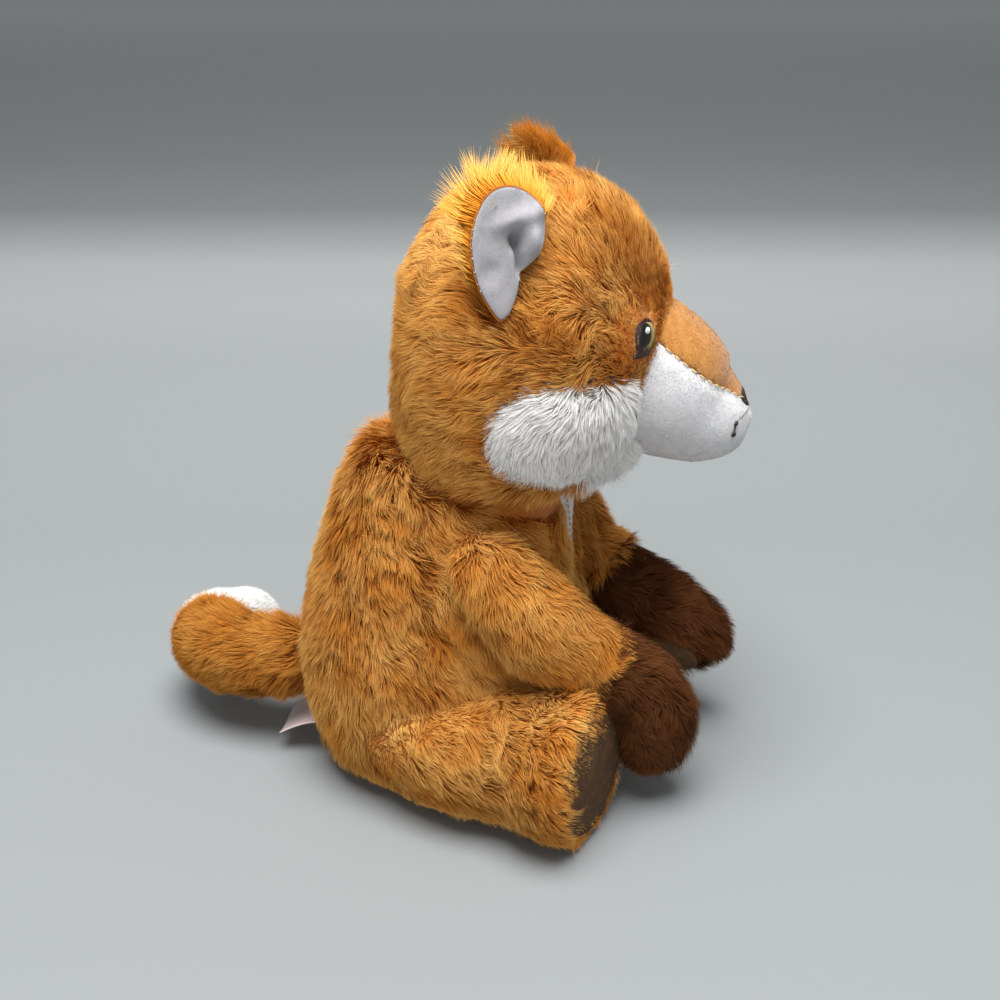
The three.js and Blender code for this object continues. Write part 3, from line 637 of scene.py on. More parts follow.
def pillow(centre, facing, upward, outline, front, back, onto=None, bend=None, rings=9):
    # A pad with this outline, swelling to the front and the back, laid onto a form or bent
    reach = 40  # how far off the rays start that look for the form
    normal = unit(facing)
    upward = np.asarray(upward, float)
    up = unit(upward - normal * (upward @ normal))
    right = np.cross(up, normal)
    shares = np.sin(np.linspace(0, np.pi / 2, rings + 1))[1:-1]
    circles = [(s, -back) for s in shares] + [(1.0, 0.0)] + [(s, front) for s in shares[::-1]]

    def place(share, height):
        flat = np.asarray(outline, float) * share
        rise = height * math.sqrt(max(1 - share * share, 0))
        points = centre + np.outer(flat[:, 0], right) + np.outer(flat[:, 1], up)
        if onto is not None:
            hits = [onto.ray_cast(Vector(p + normal * reach), Vector(-normal))[0] for p in points]
            points = np.array([p if hit is None else np.array(hit) for p, hit in zip(points, hits)])
        curve = bend(flat[:, 0], flat[:, 1]) if bend else np.zeros(len(flat))
        return points + np.outer(rise + curve, normal)
    points = [place(0, -back)[:1], *(place(s, h) for s, h in circles), place(0, front)[:1]]
    return np.vstack(points), gridFaces(len(circles), len(outline))


# How deep the cloth lies under the form, the pile that grows on it and the cloth's thickness
fur = {"sunk": 5.2, "pile": 8.0, "backing": 2.0, "gap": 0.3, "onFloor": 2.2, "ripple": 0.9,
       "rippleSize": 22.0, "lowest": 1.2}


# The cloth of a form: where pile grows on it, how high and along which way
def furGround(form, spine=None, between=(0, 1), seed=0.0, pileAt=None, **grid):
    outer, flow, faces = softForm(form, spine, 0, between, **grid)
    inner, _, _ = softForm(form, spine, fur["sunk"], between, **grid)
    normals = normalsOf(outer, faces)
    height = np.full(len(outer), fur["pile"])
    if pileAt:
        height = pileAt(outer, normals)
    skin = outer + (inner - outer) * (height / fur["pile"])[:, None]
    skin = rippled(skin, normals, fur["rippleSize"], fur["ripple"], seed)
    skin[:, 2] = np.maximum(skin[:, 2], fur["lowest"])
    return {"points": skin, "normals": normalsOf(skin, faces), "flow": flow, "faces": faces,
            "height": height, "cover": np.ones(len(skin))}


# A skin's cloth and its pile; large skins have their pile in parts
def dress(node, name, body, slot, backing, pileOf, ground, comb, parts=None, **values):
    mesh = meshOf(name, ground["points"], ground["faces"])
    cloth = objectOf(name + "_backing", mesh, body, backing, [node])
    thickened(cloth, fur["backing"])
    laid = combAlong(comb, ground["normals"])
    for part, share in (parts or {"": 1.0}).items():
        growPile(name + "_pile" + part, body, slot, pileOf, ground["points"], ground["faces"], laid,
                 ground["height"], ground["cover"] * share, **values)


def flattenedBelow(points, normals):  # the pile is pressed where the toy sits on it
    press = smoothStep(-0.35, -0.85, normals[:, 2]) * smoothStep(16, 6, points[:, 2])
    return fur["pile"] + (fur["onFloor"] - fur["pile"]) * press


# Forms of the toy, on its own axis
neckHeight = 126
bodyForm = {
    "halfWidth": 55, "halfDepth": 54,
    "spine": [[0, 0, -0.5], [0, 1, 48], [0, -4, 92], [0, -15, 128], [0, -18, 150]],
    "stations": [[0, 0, 0], [0.004, 0.55, 0.55], [0.035, 0.8, 0.8], [0.13, 0.95, 0.95], [0.3, 1, 1],
                 [0.52, 0.94, 0.92], [0.72, 0.8, 0.79], [0.86, 0.64, 0.65], [0.96, 0.38, 0.38], [1, 0, 0]],
}
headForm = {
    "halfWidth": 59, "halfDepth": 47,
    "spine": [[0, -22, 106], [0, -27, 140], [0, -32, 176], [0, -33, 224]],
    "stations": [[0, 0, 0], [0.015, 0.45, 0.45], [0.08, 0.75, 0.76], [0.25, 0.93, 0.94], [0.46, 1, 1],
                 [0.66, 0.95, 0.98], [0.83, 0.74, 0.8], [0.95, 0.42, 0.46], [1, 0, 0]],
}
muzzleForm = {
    "halfWidth": 27, "halfDepth": 27,
    "spine": [[0, -46, 165], [0, -73, 152], [0, -93, 141], [0, -107, 140]],
    "stations": [[0, 0, 0], [0.05, 0.8, 0.8], [0.3, 1, 1], [0.55, 0.9, 0.91], [0.8, 0.64, 0.65],
                 [0.94, 0.42, 0.43], [1, 0, 0]],
    "seamBack": [0, -72, 173], "seamTip": [0, -107, 145],
}
armForm = {
    "shoulder": [41, -17, 100], "halfWidth": 18, "halfDepth": 18,
    "spine": [[0, 7, 13], [5, -18, -17], [-3, -37, -37]],
    "pawSpine": {"right": [[-12, -58, -57], [-18, -61, -91]], "left": [[-9, -62, -53], [-13, -89, -68]]},
    "stations": [[0, 0, 0], [0.03, 0.45, 0.45], [0.12, 0.86, 0.86], [0.3, 0.96, 1], [0.5, 0.9, 0.92],
                 [0.62, 0.92, 0.95], [0.8, 1, 1], [0.93, 0.8, 0.78], [0.985, 0.42, 0.4], [1, 0, 0]],
    "wrist": 0.55, "ball": 15, "padShare": 0.84, "padHalfWidth": 9, "padHalfHeight": 12, "padTurn": 55,
}
legForm = {
    "hip": [35, -6, 29], "halfWidth": 30, "halfDepth": 30,
    "spine": [[-4, 32, 2], [1, 6, 0.5], [6, -31, 0.5], [14, -46, 0.5], [24, -75, 1]],
    "stations": [[0, 0, 0], [0.03, 0.45, 0.45], [0.1, 0.76, 0.76], [0.24, 0.92, 0.93], [0.45, 0.98, 0.98],
                 [0.8, 1, 1], [0.92, 0.9, 0.9], [0.985, 0.45, 0.45], [1, 0, 0]],
    "soleShare": 0.787, "soleRadius": 24.5, "soleCrown": 4, "ball": 23,
}
tailForm = {
    "root": [0, 49, 33], "halfWidth": 18, "halfDepth": 18, "upright": True,
    "spine": [[0, -6, 0], [0, 14, 0], [2, 34, 0], [19, 50, -4], [46, 48, -11], [66, 40, -15]],
    "stations": [[0, 0, 0], [0.02, 0.4, 0.4], [0.08, 0.78, 0.78], [0.24, 0.94, 0.94], [0.5, 1, 1],
                 [0.7, 0.98, 0.98], [0.87, 0.8, 0.8], [0.965, 0.45, 0.45], [1, 0, 0]],
    "tipShare": 0.6, "ball": 13,
}


def limbSpine(places, pivot, side):  # a limb's line is drawn from its own joint
    return [sided(p, side) + sided(pivot, side) for p in places]


armSpines = {name: limbSpine(armForm["spine"] + armForm["pawSpine"][name], armForm["shoulder"], side)
             for name, side in sides.items()}
legSpines = {name: limbSpine(legForm["spine"], legForm["hip"], side) for name, side in sides.items()}
tailSpine = limbSpine(tailForm["spine"], tailForm["root"], 1)


def outside(form, spine=None, inset=0.0):
    points, _, faces = softForm(form, spine, inset, around=40, rings=36)
    return treeOf(points, faces)


bodyOut, headOut, muzzleOut = outside(bodyForm), outside(headForm), outside(muzzleForm)
bodyIn = outside(bodyForm, inset=fur["sunk"])  # where the body's cloth lies
legOut = {name: outside(legForm, spine) for name, spine in legSpines.items()}

# Body
bib = {"halfWidth": 19.0, "low": 84.0, "side": 7.0, "thick": 2.2, "raised": 1.4, "tuck": 1.2, "front": -10,
       "clear": 0.3}
bodyFur = {"byBib": 2.5, "bibReach": 11, "byArm": 3.0, "neck": 6.5, "belowNeck": 4.5, "nape": 4.5,
           "napeTop": 2.0, "root": 3, "underHead": 2.0}


def bibHalfWidth(z):  # half width of the chest patch at each height
    t = np.clip((np.asarray(z, float) - bib["low"]) / (neckHeight - bib["low"]), 0, 1)
    return 2 * bib["side"] * t * (1 - t) + bib["halfWidth"] * t * t


ground = furGround(bodyForm, pileAt=flattenedBelow, around=80, rings=70)
at, cover = ground["points"], ground["cover"]
chestSide = at[:, 1] < bib["front"]
fromBib = np.abs(at[:, 0]) - bibHalfWidth(at[:, 2])

# No fur under the bib, on top of the neck or on the limbs' round roots
cover[(fromBib < -bib["clear"]) & chestSide & (at[:, 2] > bib["low"])] = 0
cover *= smoothStep(140, 136, at[:, 2])
for pivot, ball, limbSides in ((armForm["shoulder"], armForm["ball"], (-1, 1)),
                               (legForm["hip"], legForm["ball"], (-1, 1)),
                               (tailForm["root"], tailForm["ball"], (1,))):
    for side in limbSides:
        cover[np.linalg.norm(at - sided(pivot, side), axis=1) < ball - bodyFur["root"]] = 0

# Short beside the bib and at the neck, longer over the arms' seams and on the nape
besideBib = fromBib + 30 * ~chestSide + np.maximum(bib["low"] - at[:, 2], 0)
byBib = bodyFur["byBib"] + (fur["pile"] - bodyFur["byBib"]) * smoothStep(1, bodyFur["bibReach"], besideBib)
ground["height"] = np.minimum(ground["height"], byBib)
for spine in armSpines.values():
    byArm = smoothStep(9, 2, heightsOver(outside(armForm, spine), at)) * (besideBib > 9)
    ground["height"] += bodyFur["byArm"] * byArm
nape = smoothStep(-26, 8, at[:, 1])
byNeck = bodyFur["neck"] + bodyFur["belowNeck"] * smoothStep(127, 114, at[:, 2]) + bodyFur["nape"] * nape
ground["height"] = np.minimum(ground["height"], byNeck)
ground["height"] += bodyFur["napeTop"] * nape * smoothStep(106, 118, at[:, 2])

# Combed down, to the sides on the chest, and out and up round the nape to cover the seam
downward = np.zeros_like(at) + [0, 0.25, -1]
downward[:, 1] -= 1.05 * smoothStep(46, 22, at[:, 1])
downward[:, 0] += 0.4 * np.sign(at[:, 0]) * smoothStep(-10, -40, at[:, 1])
away = unit((at - [0, -15, 0]) * [1, 1, 0])
downward += (away * 0.9 + [0, 0, 0.9]) * (nape * smoothStep(110, 122, at[:, 2]))[:, None]

# The top is flat under the neck's seam, and no fur grows inside the legs, the tail or the head
at[:, 2] = np.minimum(at[:, 2], neckHeight - 0.8)
for form, spine in [(legForm, spine) for spine in legSpines.values()] + [(tailForm, tailSpine)]:
    cover[heightsOver(outside(form, spine, 4.0), at) < 0] = 0
cover[heightsOver(headOut, at) < -bodyFur["underHead"]] = 0
frontShare, rightShare = smoothStep(6, -6, at[:, 1]), smoothStep(4, -4, at[:, 0])
backShare, leftShare = 1 - frontShare, 1 - rightShare
shares = {"_front_right": frontShare * rightShare, "_front_left": frontShare * leftShare,
          "_back_right": backShare * rightShare, "_back_left": backShare * leftShare}
dress("body_skin", "body", "torso", "long_orange_pile", orangeBacking, orangePile, ground, downward, shares,
      Seed=11)
print("body: dressed")


def fromFront(tree, x, z):  # where a level ray from the front meets a form, and the normal there
    hit, normal, _, _ = tree.ray_cast(Vector((x, -120, z)), Vector((0, 1, 0)))
    return np.array(hit), np.array(normal)


def bibPatch():
    rows, columns = 26, 13
    points, faces = [], []
    for lift in (0.0, bib["thick"]):
        for z in np.linspace(bib["low"] + 0.4, neckHeight - 1.0, rows):
            reach = bibHalfWidth(z) + bib["tuck"]
            for x in np.linspace(-1, 1, columns) * reach:
                hit, normal = fromFront(bodyIn, x, z)
                edge = 1 - (abs(x) / reach) ** 6
                points.append(hit + normal * (bib["raised"] - bib["thick"] + lift * (0.45 + 0.55 * edge)))
    count = rows * columns
    for r in range(rows - 1):
        for c in range(columns - 1):
            a = r * columns + c
            quad = (a, a + 1, a + columns + 1, a + columns)
            faces += [tuple(count + k for k in quad), quad[::-1]]
    rim = list(range(columns)) + [r * columns + columns - 1 for r in range(1, rows)]
    rim += [(rows - 1) * columns + c for c in range(columns - 2, -1, -1)]
    rim += [r * columns for r in range(rows - 2, 0, -1)]
    faces += [(a, b, count + b, count + a) for a, b in zip(rim, rim[1:] + rim[:1])]
    return np.array(points), faces


chest = objectOf("chest_bib_velour", meshOf("chest_bib_velour", *bibPatch()), "torso",
                 whiteVelour, ["chest_bib"])
bibStitches = {"spacing": 3.0, "length": 1.9, "rise": 0.35, "thread": 0.5}
edges = []
for side in (-1, 1):
    heights = np.linspace(neckHeight - 2, bib["low"] + 1, 30)
    line = [fromFront(bodyIn, side * (bibHalfWidth(z) - 0.6), z)[0] for z in heights]
    edges += stitchesAlong(draped(bodyIn, line, 1.3), bibStitches["spacing"], bibStitches["length"],
                           bibStitches["rise"], lambda p: np.array([[0, -1, 0.2]]))
sewn("chest_bib_stitches", "torso", pinkThread, edges, bibStitches["thread"])

# Label: a bare satin tape, caught in the seam under the tail
label = {"width": 24.0, "length": 18.0, "thick": 0.35, "rise": 15.4, "droop": 7.5, "bow": 1.2,
         "start": 45.4, "middle": -4.0, "hidden": 3.0}


def labelTape():
    rows, columns = 24, 17
    points, faces = [], []
    for share in np.linspace(-label["hidden"] / label["length"], 1, rows):
        y = label["start"] + share * label["length"]
        z = label["rise"] - label["droop"] * share + label["bow"] * math.sin(math.pi * max(share, 0))
        for across in np.linspace(-0.5, 0.5, columns):
            curl = 0.9 * (2 * across) ** 2 * max(share, 0) ** 1.5 - 0.25 * math.cos(9 * across + 2 * share)
            points.append([label["middle"] + across * label["width"], y, z + curl * 0.8])
    for r in range(rows - 1):
        faces += [(r * columns + c, r * columns + c + 1, (r + 1) * columns + c + 1, (r + 1) * columns + c)
                  for c in range(columns - 1)]
    return np.array(points), faces


tape = objectOf("label_tape", meshOf("label_tape", *labelTape()), "torso", satin,
                ["sewn_label"])
thickened(tape, label["thick"])


# Arms and paws
def pressedBy(ground, trees, lowest):  # pile shortened where another part of the toy lies against it
    for tree in trees:
        room = heightsOver(tree, ground["points"]) + 1.0
        ground["height"] = np.minimum(ground["height"], np.maximum(room, lowest))


def hiddenIn(ground, tree, depth):  # no pile where the cloth lies deeper than this in another form
    ground["cover"] = ground["cover"] * (heightsOver(tree, ground["points"]) > -depth)


def padPlace(name, side):  # the middle of the paw's pad, the way it faces and the way the paw points
    path = Spine(armSpines[name])
    along = path.direction(armForm["padShare"])
    palm = unit(np.cross([1, 0, 0], along))
    turn = math.radians(-side * armForm["padTurn"])
    palm = palm * math.cos(turn) + np.cross(along, palm) * math.sin(turn)
    return path.at(armForm["padShare"]), palm, along


armFur = {"onPalm": 1.5, "pressed": 4.5}
for name, side in sides.items():
    centre, palm, along = padPlace(name, side)
    across = np.cross(along, palm)

    def padOval(points):  # 1 on the rim of the pad
        away = points - centre
        return np.hypot(away @ across / armForm["padHalfWidth"], away @ along / armForm["padHalfHeight"])

    def palmPile(points, normals):
        facing = smoothStep(0.1, 0.5, normals @ palm)
        onPad = smoothStep(1.35, 0.85, padOval(points))
        return fur["pile"] - (fur["pile"] - armFur["onPalm"]) * facing * onPad

    for part, between, slot, backing, pileOf, seed in (
            ("arm", (0, armForm["wrist"]), "long_orange_pile", orangeBacking, orangePile, 21),
            ("paw", (armForm["wrist"], 1), "long_brown_pile", brownBacking, brownPile, 23)):
        ground = furGround(armForm, armSpines[name], between, seed=seed + side, pileAt=palmPile,
                           around=44, rings=64)
        pressedBy(ground, [bodyOut, legOut[name]], armFur["pressed"])
        hiddenIn(ground, bodyIn, 3)
        ground["cover"][(padOval(ground["points"]) < 0.92) & (ground["normals"] @ palm > 0.3)] = 0
        fromShoulder = np.linalg.norm(ground["points"] - sided(armForm["shoulder"], side), axis=1)
        nearBody = smoothStep(34, 12, fromShoulder)
        comb = ground["flow"] + [0, 0, -0.15] + np.outer(nearBody, [0, -0.6, -2.0])
        dress(f"{part}_skin_{name}", f"{part}_{name}", "arm_" + name, slot, backing, pileOf, ground, comb,
              Seed=seed + side, Lay=0.7)
    palmTree = outside(armForm, armSpines[name], armFur["onPalm"])
    oval = ovalOutline(armForm["padHalfWidth"], armForm["padHalfHeight"], 40)
    points, faces = pillow(centre, palm, along, oval, 2.4, 1.0, palmTree)
    pad = objectOf("paw_pad_suede_" + name, meshOf("pad", points, faces), "arm_" + name,
                   suede, ["paw_pad_" + name])
print("arms: dressed")


# Legs and soles
legFur = {"atSole": 5.3, "longest": 9.0, "inside": 5.5, "pressed": 3.5, "seed": 31}
sole = {"rim": 0.93, "radius": legForm["soleRadius"] + 1.4, "ripple": 0.55, "rippleSize": 9.0,
        "lowest": 0.4}
soleStitches = {"spacing": 2.6, "length": 1.7, "rise": 0.3, "thread": 0.45}
for name, side in sides.items():
    path = Spine(legSpines[name])
    end, along = path.at(legForm["soleShare"]), path.direction(legForm["soleShare"])

    def legPile(points, normals):
        nearSole = smoothStep(-16, -1, (points - end) @ along)
        pressed = flattenedBelow(points, normals)
        return pressed * (1 - nearSole) + np.minimum(pressed, legFur["atSole"]) * nearSole

    ground = furGround(legForm, legSpines[name], (0, legForm["soleShare"]), seed=legFur["seed"] + side,
                       pileAt=legPile, around=64, rings=70)
    pressedBy(ground, [bodyOut], legFur["pressed"])
    hiddenIn(ground, bodyIn, 1)
    before = (ground["points"] - end) @ along
    ground["points"] -= np.outer(np.maximum(before + 1.6, 0), along)
    ground["cover"][before > -1.2] = 0
    inward = smoothStep(0.0, 0.6, -side * ground["normals"][:, 0] - ground["normals"][:, 2] * 0.5)
    longest = legFur["longest"] - legFur["inside"] * inward * smoothStep(-14, -2, before)
    ground["height"] = np.minimum(ground["height"] + smoothStep(-12, -4, before), longest)
    dress("leg_skin_" + name, "leg_" + name, "leg_" + name, "long_orange_pile", orangeBacking, orangePile,
          ground, ground["flow"] + [0, 0, -0.35], Seed=legFur["seed"] + side, Wave=0.7)
    disc = ovalOutline(sole["radius"], sole["radius"], 72)
    points, faces = pillow(end + along * 0.3, along, [0, 0, 1], disc, legForm["soleCrown"], 0.2)
    points = rippled(points, normalsOf(points, faces), sole["rippleSize"], sole["ripple"], 5.0 + side)
    points[:, 2] = np.maximum(points[:, 2], sole["lowest"])
    suedeDisc = objectOf("sole_suede_" + name, meshOf("sole", points, faces), "leg_" + name,
                         suede, ["sole_" + name])
    right = unit(np.cross([0, 0, 1], along))
    upward = np.cross(along, right)
    radius = sole["radius"] * sole["rim"]
    rise = legForm["soleCrown"] * math.sqrt(1 - sole["rim"] ** 2)
    ring = [end + along * (0.55 + rise) + radius * (math.cos(t) * right + math.sin(t) * upward)
            for t in np.linspace(0, 2 * math.pi, 73)]
    rim = stitchesAlong(ring, soleStitches["spacing"], soleStitches["length"], soleStitches["rise"],
                        lambda p: np.array([along]))
    sewn("sole_stitches_" + name, "leg_" + name, brownThread, rim, soleStitches["thread"])
print("legs: dressed")

# Tail
tailFur = {"above": 3.5, "below": 3.0, "tip": 0.66}
for node, between, backing, pileOf, slot, seed in (
        ("tail_skin", (0, tailForm["tipShare"]), orangeBacking, shadedTailPile, "long_orange_pile", 41),
        ("tail_tip", (tailForm["tipShare"], 1), whiteBacking, whitePile, "long_white_pile", 43)):
    ground = furGround(tailForm, tailSpine, between, seed=seed, pileAt=flattenedBelow, around=44, rings=70)
    if node == "tail_skin":
        hiddenIn(ground, bodyIn, 1)
        nearRoot = smoothStep(16, 4, heightsOver(bodyOut, ground["points"]))
        ground["height"] += tailFur["above"] * nearRoot * smoothStep(24, 32, ground["points"][:, 2])
        ground["height"] -= tailFur["below"] * nearRoot * smoothStep(28, 18, ground["points"][:, 2])
        values = {"Length": 1.15}
    else:
        ground["height"] = ground["height"] * tailFur["tip"]
        values = {"Length": 1.4, "Density": 8.0e6, "Width": 0.42 * mm, "Tuft Pull": 0.08, "Wave": 0.6}
    dress(node, node.replace("_skin", ""), "tail", slot, backing, pileOf, ground,
          ground["flow"] + [0, 0, -0.7], Seed=seed, **values)
print("tail: dressed")

# Head
eye = {"place": [31, -71, 176], "facing": [0.62, -0.76, 0.18], "bare": [4.4, 4.4, 7.0]}
cheek = {"y": -49.0, "z": 147.4, "halfLength": 24.5, "halfHeight": 15.6, "reach": 9.0, "bulge": 4.0,
         "inner": 12.0, "sunk": 7.0, "back": 9.0, "pile": 7.5}
ear = {"root": [50, -29, 188], "halfWidth": 16.5, "halfHeight": 24.0, "lean": 2.0, "cup": 5.0, "crest": 0.4,
       "ball": 6.0, "facing": [0.88, -0.46, 0.12], "pile": 7.5, "topPile": 6.5, "size": 0.87,
       "outline": [(1.0, 22.0), (7.5, 20.0), (12.2, 14.5), (13.4, 7.5), (11.6, 0.5), (7.4, -4.4),
                   (4.4, -8.0), (2.6, -14.0), (-1.0, -20.5), (-4.5, -22.4), (-8.2, -17.5), (-11.6, -10.0),
                   (-13.2, 0.0), (-12.4, 8.0), (-9.4, 15.0), (-5.0, 20.2)]}
headFur = {"byEye": 1.6, "byMuzzle": 2.6, "nape": 3.0, "under": 3.0, "bottom": 127.0}


def earPlace(side):  # the middle of an ear, the way it faces and the way it stands
    root, facing = sided(ear["root"], side), unit(sided(ear["facing"], side))
    upward = unit([side * ear["lean"], 0, ear["halfHeight"]])
    return root + upward * (ear["halfHeight"] - ear["ball"]), facing, upward


def cheekOval(points, grow=0.0):  # 1 on the rim of the cheek
    y, z = points[:, 1] - cheek["y"], points[:, 2] - cheek["z"]
    return np.hypot(y / (cheek["halfLength"] + grow), z / (cheek["halfHeight"] + grow))


def headPile(points, normals):
    height = np.full(len(points), fur["pile"])
    for side in (-1, 1):
        gap = np.linalg.norm(points - sided(eye["place"], side), axis=1)
        byEye = headFur["byEye"] + (fur["pile"] - headFur["byEye"]) * smoothStep(6, 20, gap)
        height = np.minimum(height, byEye)
    gap = heightsOver(muzzleOut, points)
    byMuzzle = headFur["byMuzzle"] + (fur["pile"] - headFur["byMuzzle"]) * smoothStep(-1, 11, gap)
    height = np.minimum(height, byMuzzle)
    height += headFur["nape"] * smoothStep(-2, 14, points[:, 1]) * smoothStep(156, 138, points[:, 2])
    return np.where(normals[:, 2] < -0.9, headFur["under"], height)


ground = furGround(headForm, seed=50, pileAt=headPile, around=84, rings=80)
at, cover = ground["points"], ground["cover"]

# No fur under the neck's seam, the muzzle, the cheeks, the ears' roots or the eyes
cover *= smoothStep(126.4, 127.4, at[:, 2] + 0.9)
cover[heightsOver(muzzleOut, at) < 0.3] = 0
cover[(heightsOver(bodyOut, at) < -2.0) & (at[:, 2] < 128)] = 0
cover[(cheekOval(at) < 0.97) & (np.abs(at[:, 0]) > cheek["inner"])] = 0
cover[(cheekOval(at, 4.0) < 1) & (at[:, 1] < -60) & (at[:, 2] < 153)] = 0
for side in (-1, 1):
    cover[np.linalg.norm(at - sided(ear["root"], side), axis=1) < ear["ball"] + 0.5] = 0
    away = (at - sided(eye["place"], side)) / eye["bare"]
    cover[np.linalg.norm(away, axis=1) < 1.0] = 0
at[:, 2] = np.maximum(at[:, 2], headFur["bottom"])

# Combed away from the muzzle; white under the muzzle and orange elsewhere
backwards = unit(at - [0, -96, 150]) + np.outer(smoothStep(186, 160, at[:, 2]), [0, 0, -0.35])
frontShare, rightShare = smoothStep(-28, -40, at[:, 1]), smoothStep(4, -4, at[:, 0])
backShare = 1 - frontShare
chin = (at[:, 1] < -52) & (at[:, 2] < 146 + 8 * (np.abs(at[:, 0]) > 18)) & (np.abs(at[:, 0]) < 46)
shares = {"_front": frontShare * ~chin, "_back_right": backShare * rightShare,
          "_back_left": backShare * (1 - rightShare)}
dress("head_skin", "head", "head", "long_orange_pile", orangeBacking, orangePile, ground, backwards, shares,
      Seed=51, Wave=1.0, **{"Wave Size": 12 * mm})
headIn = treeOf(ground["points"], ground["faces"])
chin = chin & (heightsOver(muzzleOut, at) > -0.3) & (cheekOval(at) > 0.9)
growPile("chin_pile", "head", "long_white_pile", whitePile, at, ground["faces"],
         combAlong([0, -0.2, -1.0], ground["normals"]), np.minimum(ground["height"] + 2, 7.0), chin,
         Seed=57, Density=7.0e6, Length=1.3)
print("head: dressed")

# Cheeks: a cushion laid on the head, longer to the back, with its front side grown over
cheekFur = {"Length": 1.3, "Lay": 0.62, "Density": 10.0e6, "Width": 0.45 * mm, "Wave": 0.7}
for name, side in sides.items():
    points, faces = [], []
    rings, around = 16, 60
    outline = [(r, 2 * math.pi * k / around)
               for r in np.linspace(0, 1, rings + 1)[1:] for k in range(around)]
    for front in (True, False):
        for r, turn in [(0.0, 0.0)] + outline:
            halfLength = cheek["halfLength"] + cheek["reach"] * (math.cos(turn) < 0)
            y = cheek["y"] + halfLength * r * math.cos(turn)
            z = cheek["z"] + cheek["halfHeight"] * r * math.sin(turn)
            hit, normal, _, _ = headOut.ray_cast(Vector((side * 90, y, z)), Vector((-side, 0, 0)))
            if hit is None:
                hit, normal, _, _ = headOut.find_nearest(Vector((side * 30, y, z)))
            lift = cheek["bulge"] * math.sqrt(1 - r ** 2) - cheek["sunk"] if front else -cheek["back"]
            points.append(np.array(hit) + np.array(normal) * lift)
    points = np.array(points)
    count = 1 + rings * around
    for k in range(around):
        n = (k + 1) % around
        for base, flip in ((0, side < 0), (count, side > 0)):
            rows = [(base, base + 1 + k, base + 1 + n)]
            rows += [(base + 1 + (r - 1) * around + k, base + 1 + r * around + k,
                      base + 1 + r * around + n, base + 1 + (r - 1) * around + n) for r in range(1, rings)]
            faces += [row[::-1] if flip else row for row in rows]
        a, b = 1 + (rings - 1) * around + k, 1 + (rings - 1) * around + n
        wall = (a, count + a, count + b, b)
        faces.append(wall[::-1] if side < 0 else wall)
    cloth = objectOf("cheek_backing_" + name, meshOf("cheek", points, faces), "head",
                     whiteBacking, ["cheek_" + name])
    gap = heightsOver(muzzleOut, points)
    height = np.minimum(cheek["pile"], 5.0 + 2.5 * smoothStep(0, 9, gap))
    fromEye = unit((points - [0, -62, 172]) * [0, 1, 1]) + [0, 0, -0.2]
    growPile("cheek_pile_" + name, "head", "long_white_pile", whitePile, points, faces,
             combAlong(fromEye, normalsOf(points, faces)), height,
             (np.arange(len(points)) < count) & (gap > -0.3), Seed=61 + side, **cheekFur)
print("cheeks: dressed")

# Muzzle: an upper and a lower velour panel
seam = {"depth": 0.8, "width": 1.5, "gap": 0.15, "stitch": 2.2, "spacing": 3.4, "rise": 0.35,
        "thread": 0.45}
seamBack, seamTip = np.array(muzzleForm["seamBack"], float), np.array(muzzleForm["seamTip"], float)
seamUp = unit(np.cross(seamTip - seamBack, [1, 0, 0]))
around = 96
points, _, faces = softForm(muzzleForm, around=around, rings=90)
rings = points[1:-1].reshape(-1, around, 3)
for _ in range(70):  # an even curve from the bridge to the tip
    rings[48:-3] = 0.25 * rings[47:-4] + 0.5 * rings[48:-3] + 0.25 * rings[49:-2]
points[1:-1] = rings.reshape(-1, 3)
normals = normalsOf(points, faces)
points = rippled(points, normals, 16.0, 0.5, 3.0)
offSeam = (points - seamBack) @ seamUp
points = points - normals * (seam["depth"] * np.exp(-(offSeam / seam["width"]) ** 2))[:, None]
muzzleSkin = treeOf(points, faces)
velours = (("muzzle_top", "short_orange_velour", orangeVelour, orangeFuzz, -seamUp, 1),
           ("muzzle_lower", "short_white_velour", whiteVelour, whiteFuzz, seamUp, -1))
for node, slot, velour, fuzz, normal, upper in velours:
    plane = seamBack + seamUp * seam["gap"] * upper
    panel = objectOf(node + "_velour", trimmedMesh(node, points, faces, [(plane, normal)]), "head",
                     velour, [node])
    share = (upper * (points - plane) @ seamUp > 0.1) * (heightsOver(headOut, points) > -2.0)
    growPile(node + "_nap", "head", slot, fuzz, points, faces,
             combAlong(unit([0, 0.8, 0.25]), normalsOf(points, faces)), np.ones(len(points)), share,
             Seed=70 + upper, Length=1.1, **shortNap, **{"Wave Size": 5 * mm})
print("muzzle: dressed")


# Embroidery
def rowsAcross(outline, turn, spacing):  # straight stitches that fill an outline
    c, s = math.cos(turn), math.sin(turn)
    p = np.array(outline) @ np.array([[c, -s], [s, c]])
    rows = []
    for y in np.arange(p[:, 1].min() + spacing / 2, p[:, 1].max(), spacing):
        crossings = []
        for (x0, y0), (x1, y1) in zip(p, np.roll(p, -1, axis=0)):
            if (y0 - y) * (y1 - y) < 0:
                crossings.append(x0 + (x1 - x0) * (y - y0) / (y1 - y0))
        crossings.sort()
        for x0, x1 in zip(crossings[::2], crossings[1::2]):
            rows.append(np.array([[x0, y], [x1, y]]) @ np.array([[c, s], [-s, c]]))
    return rows


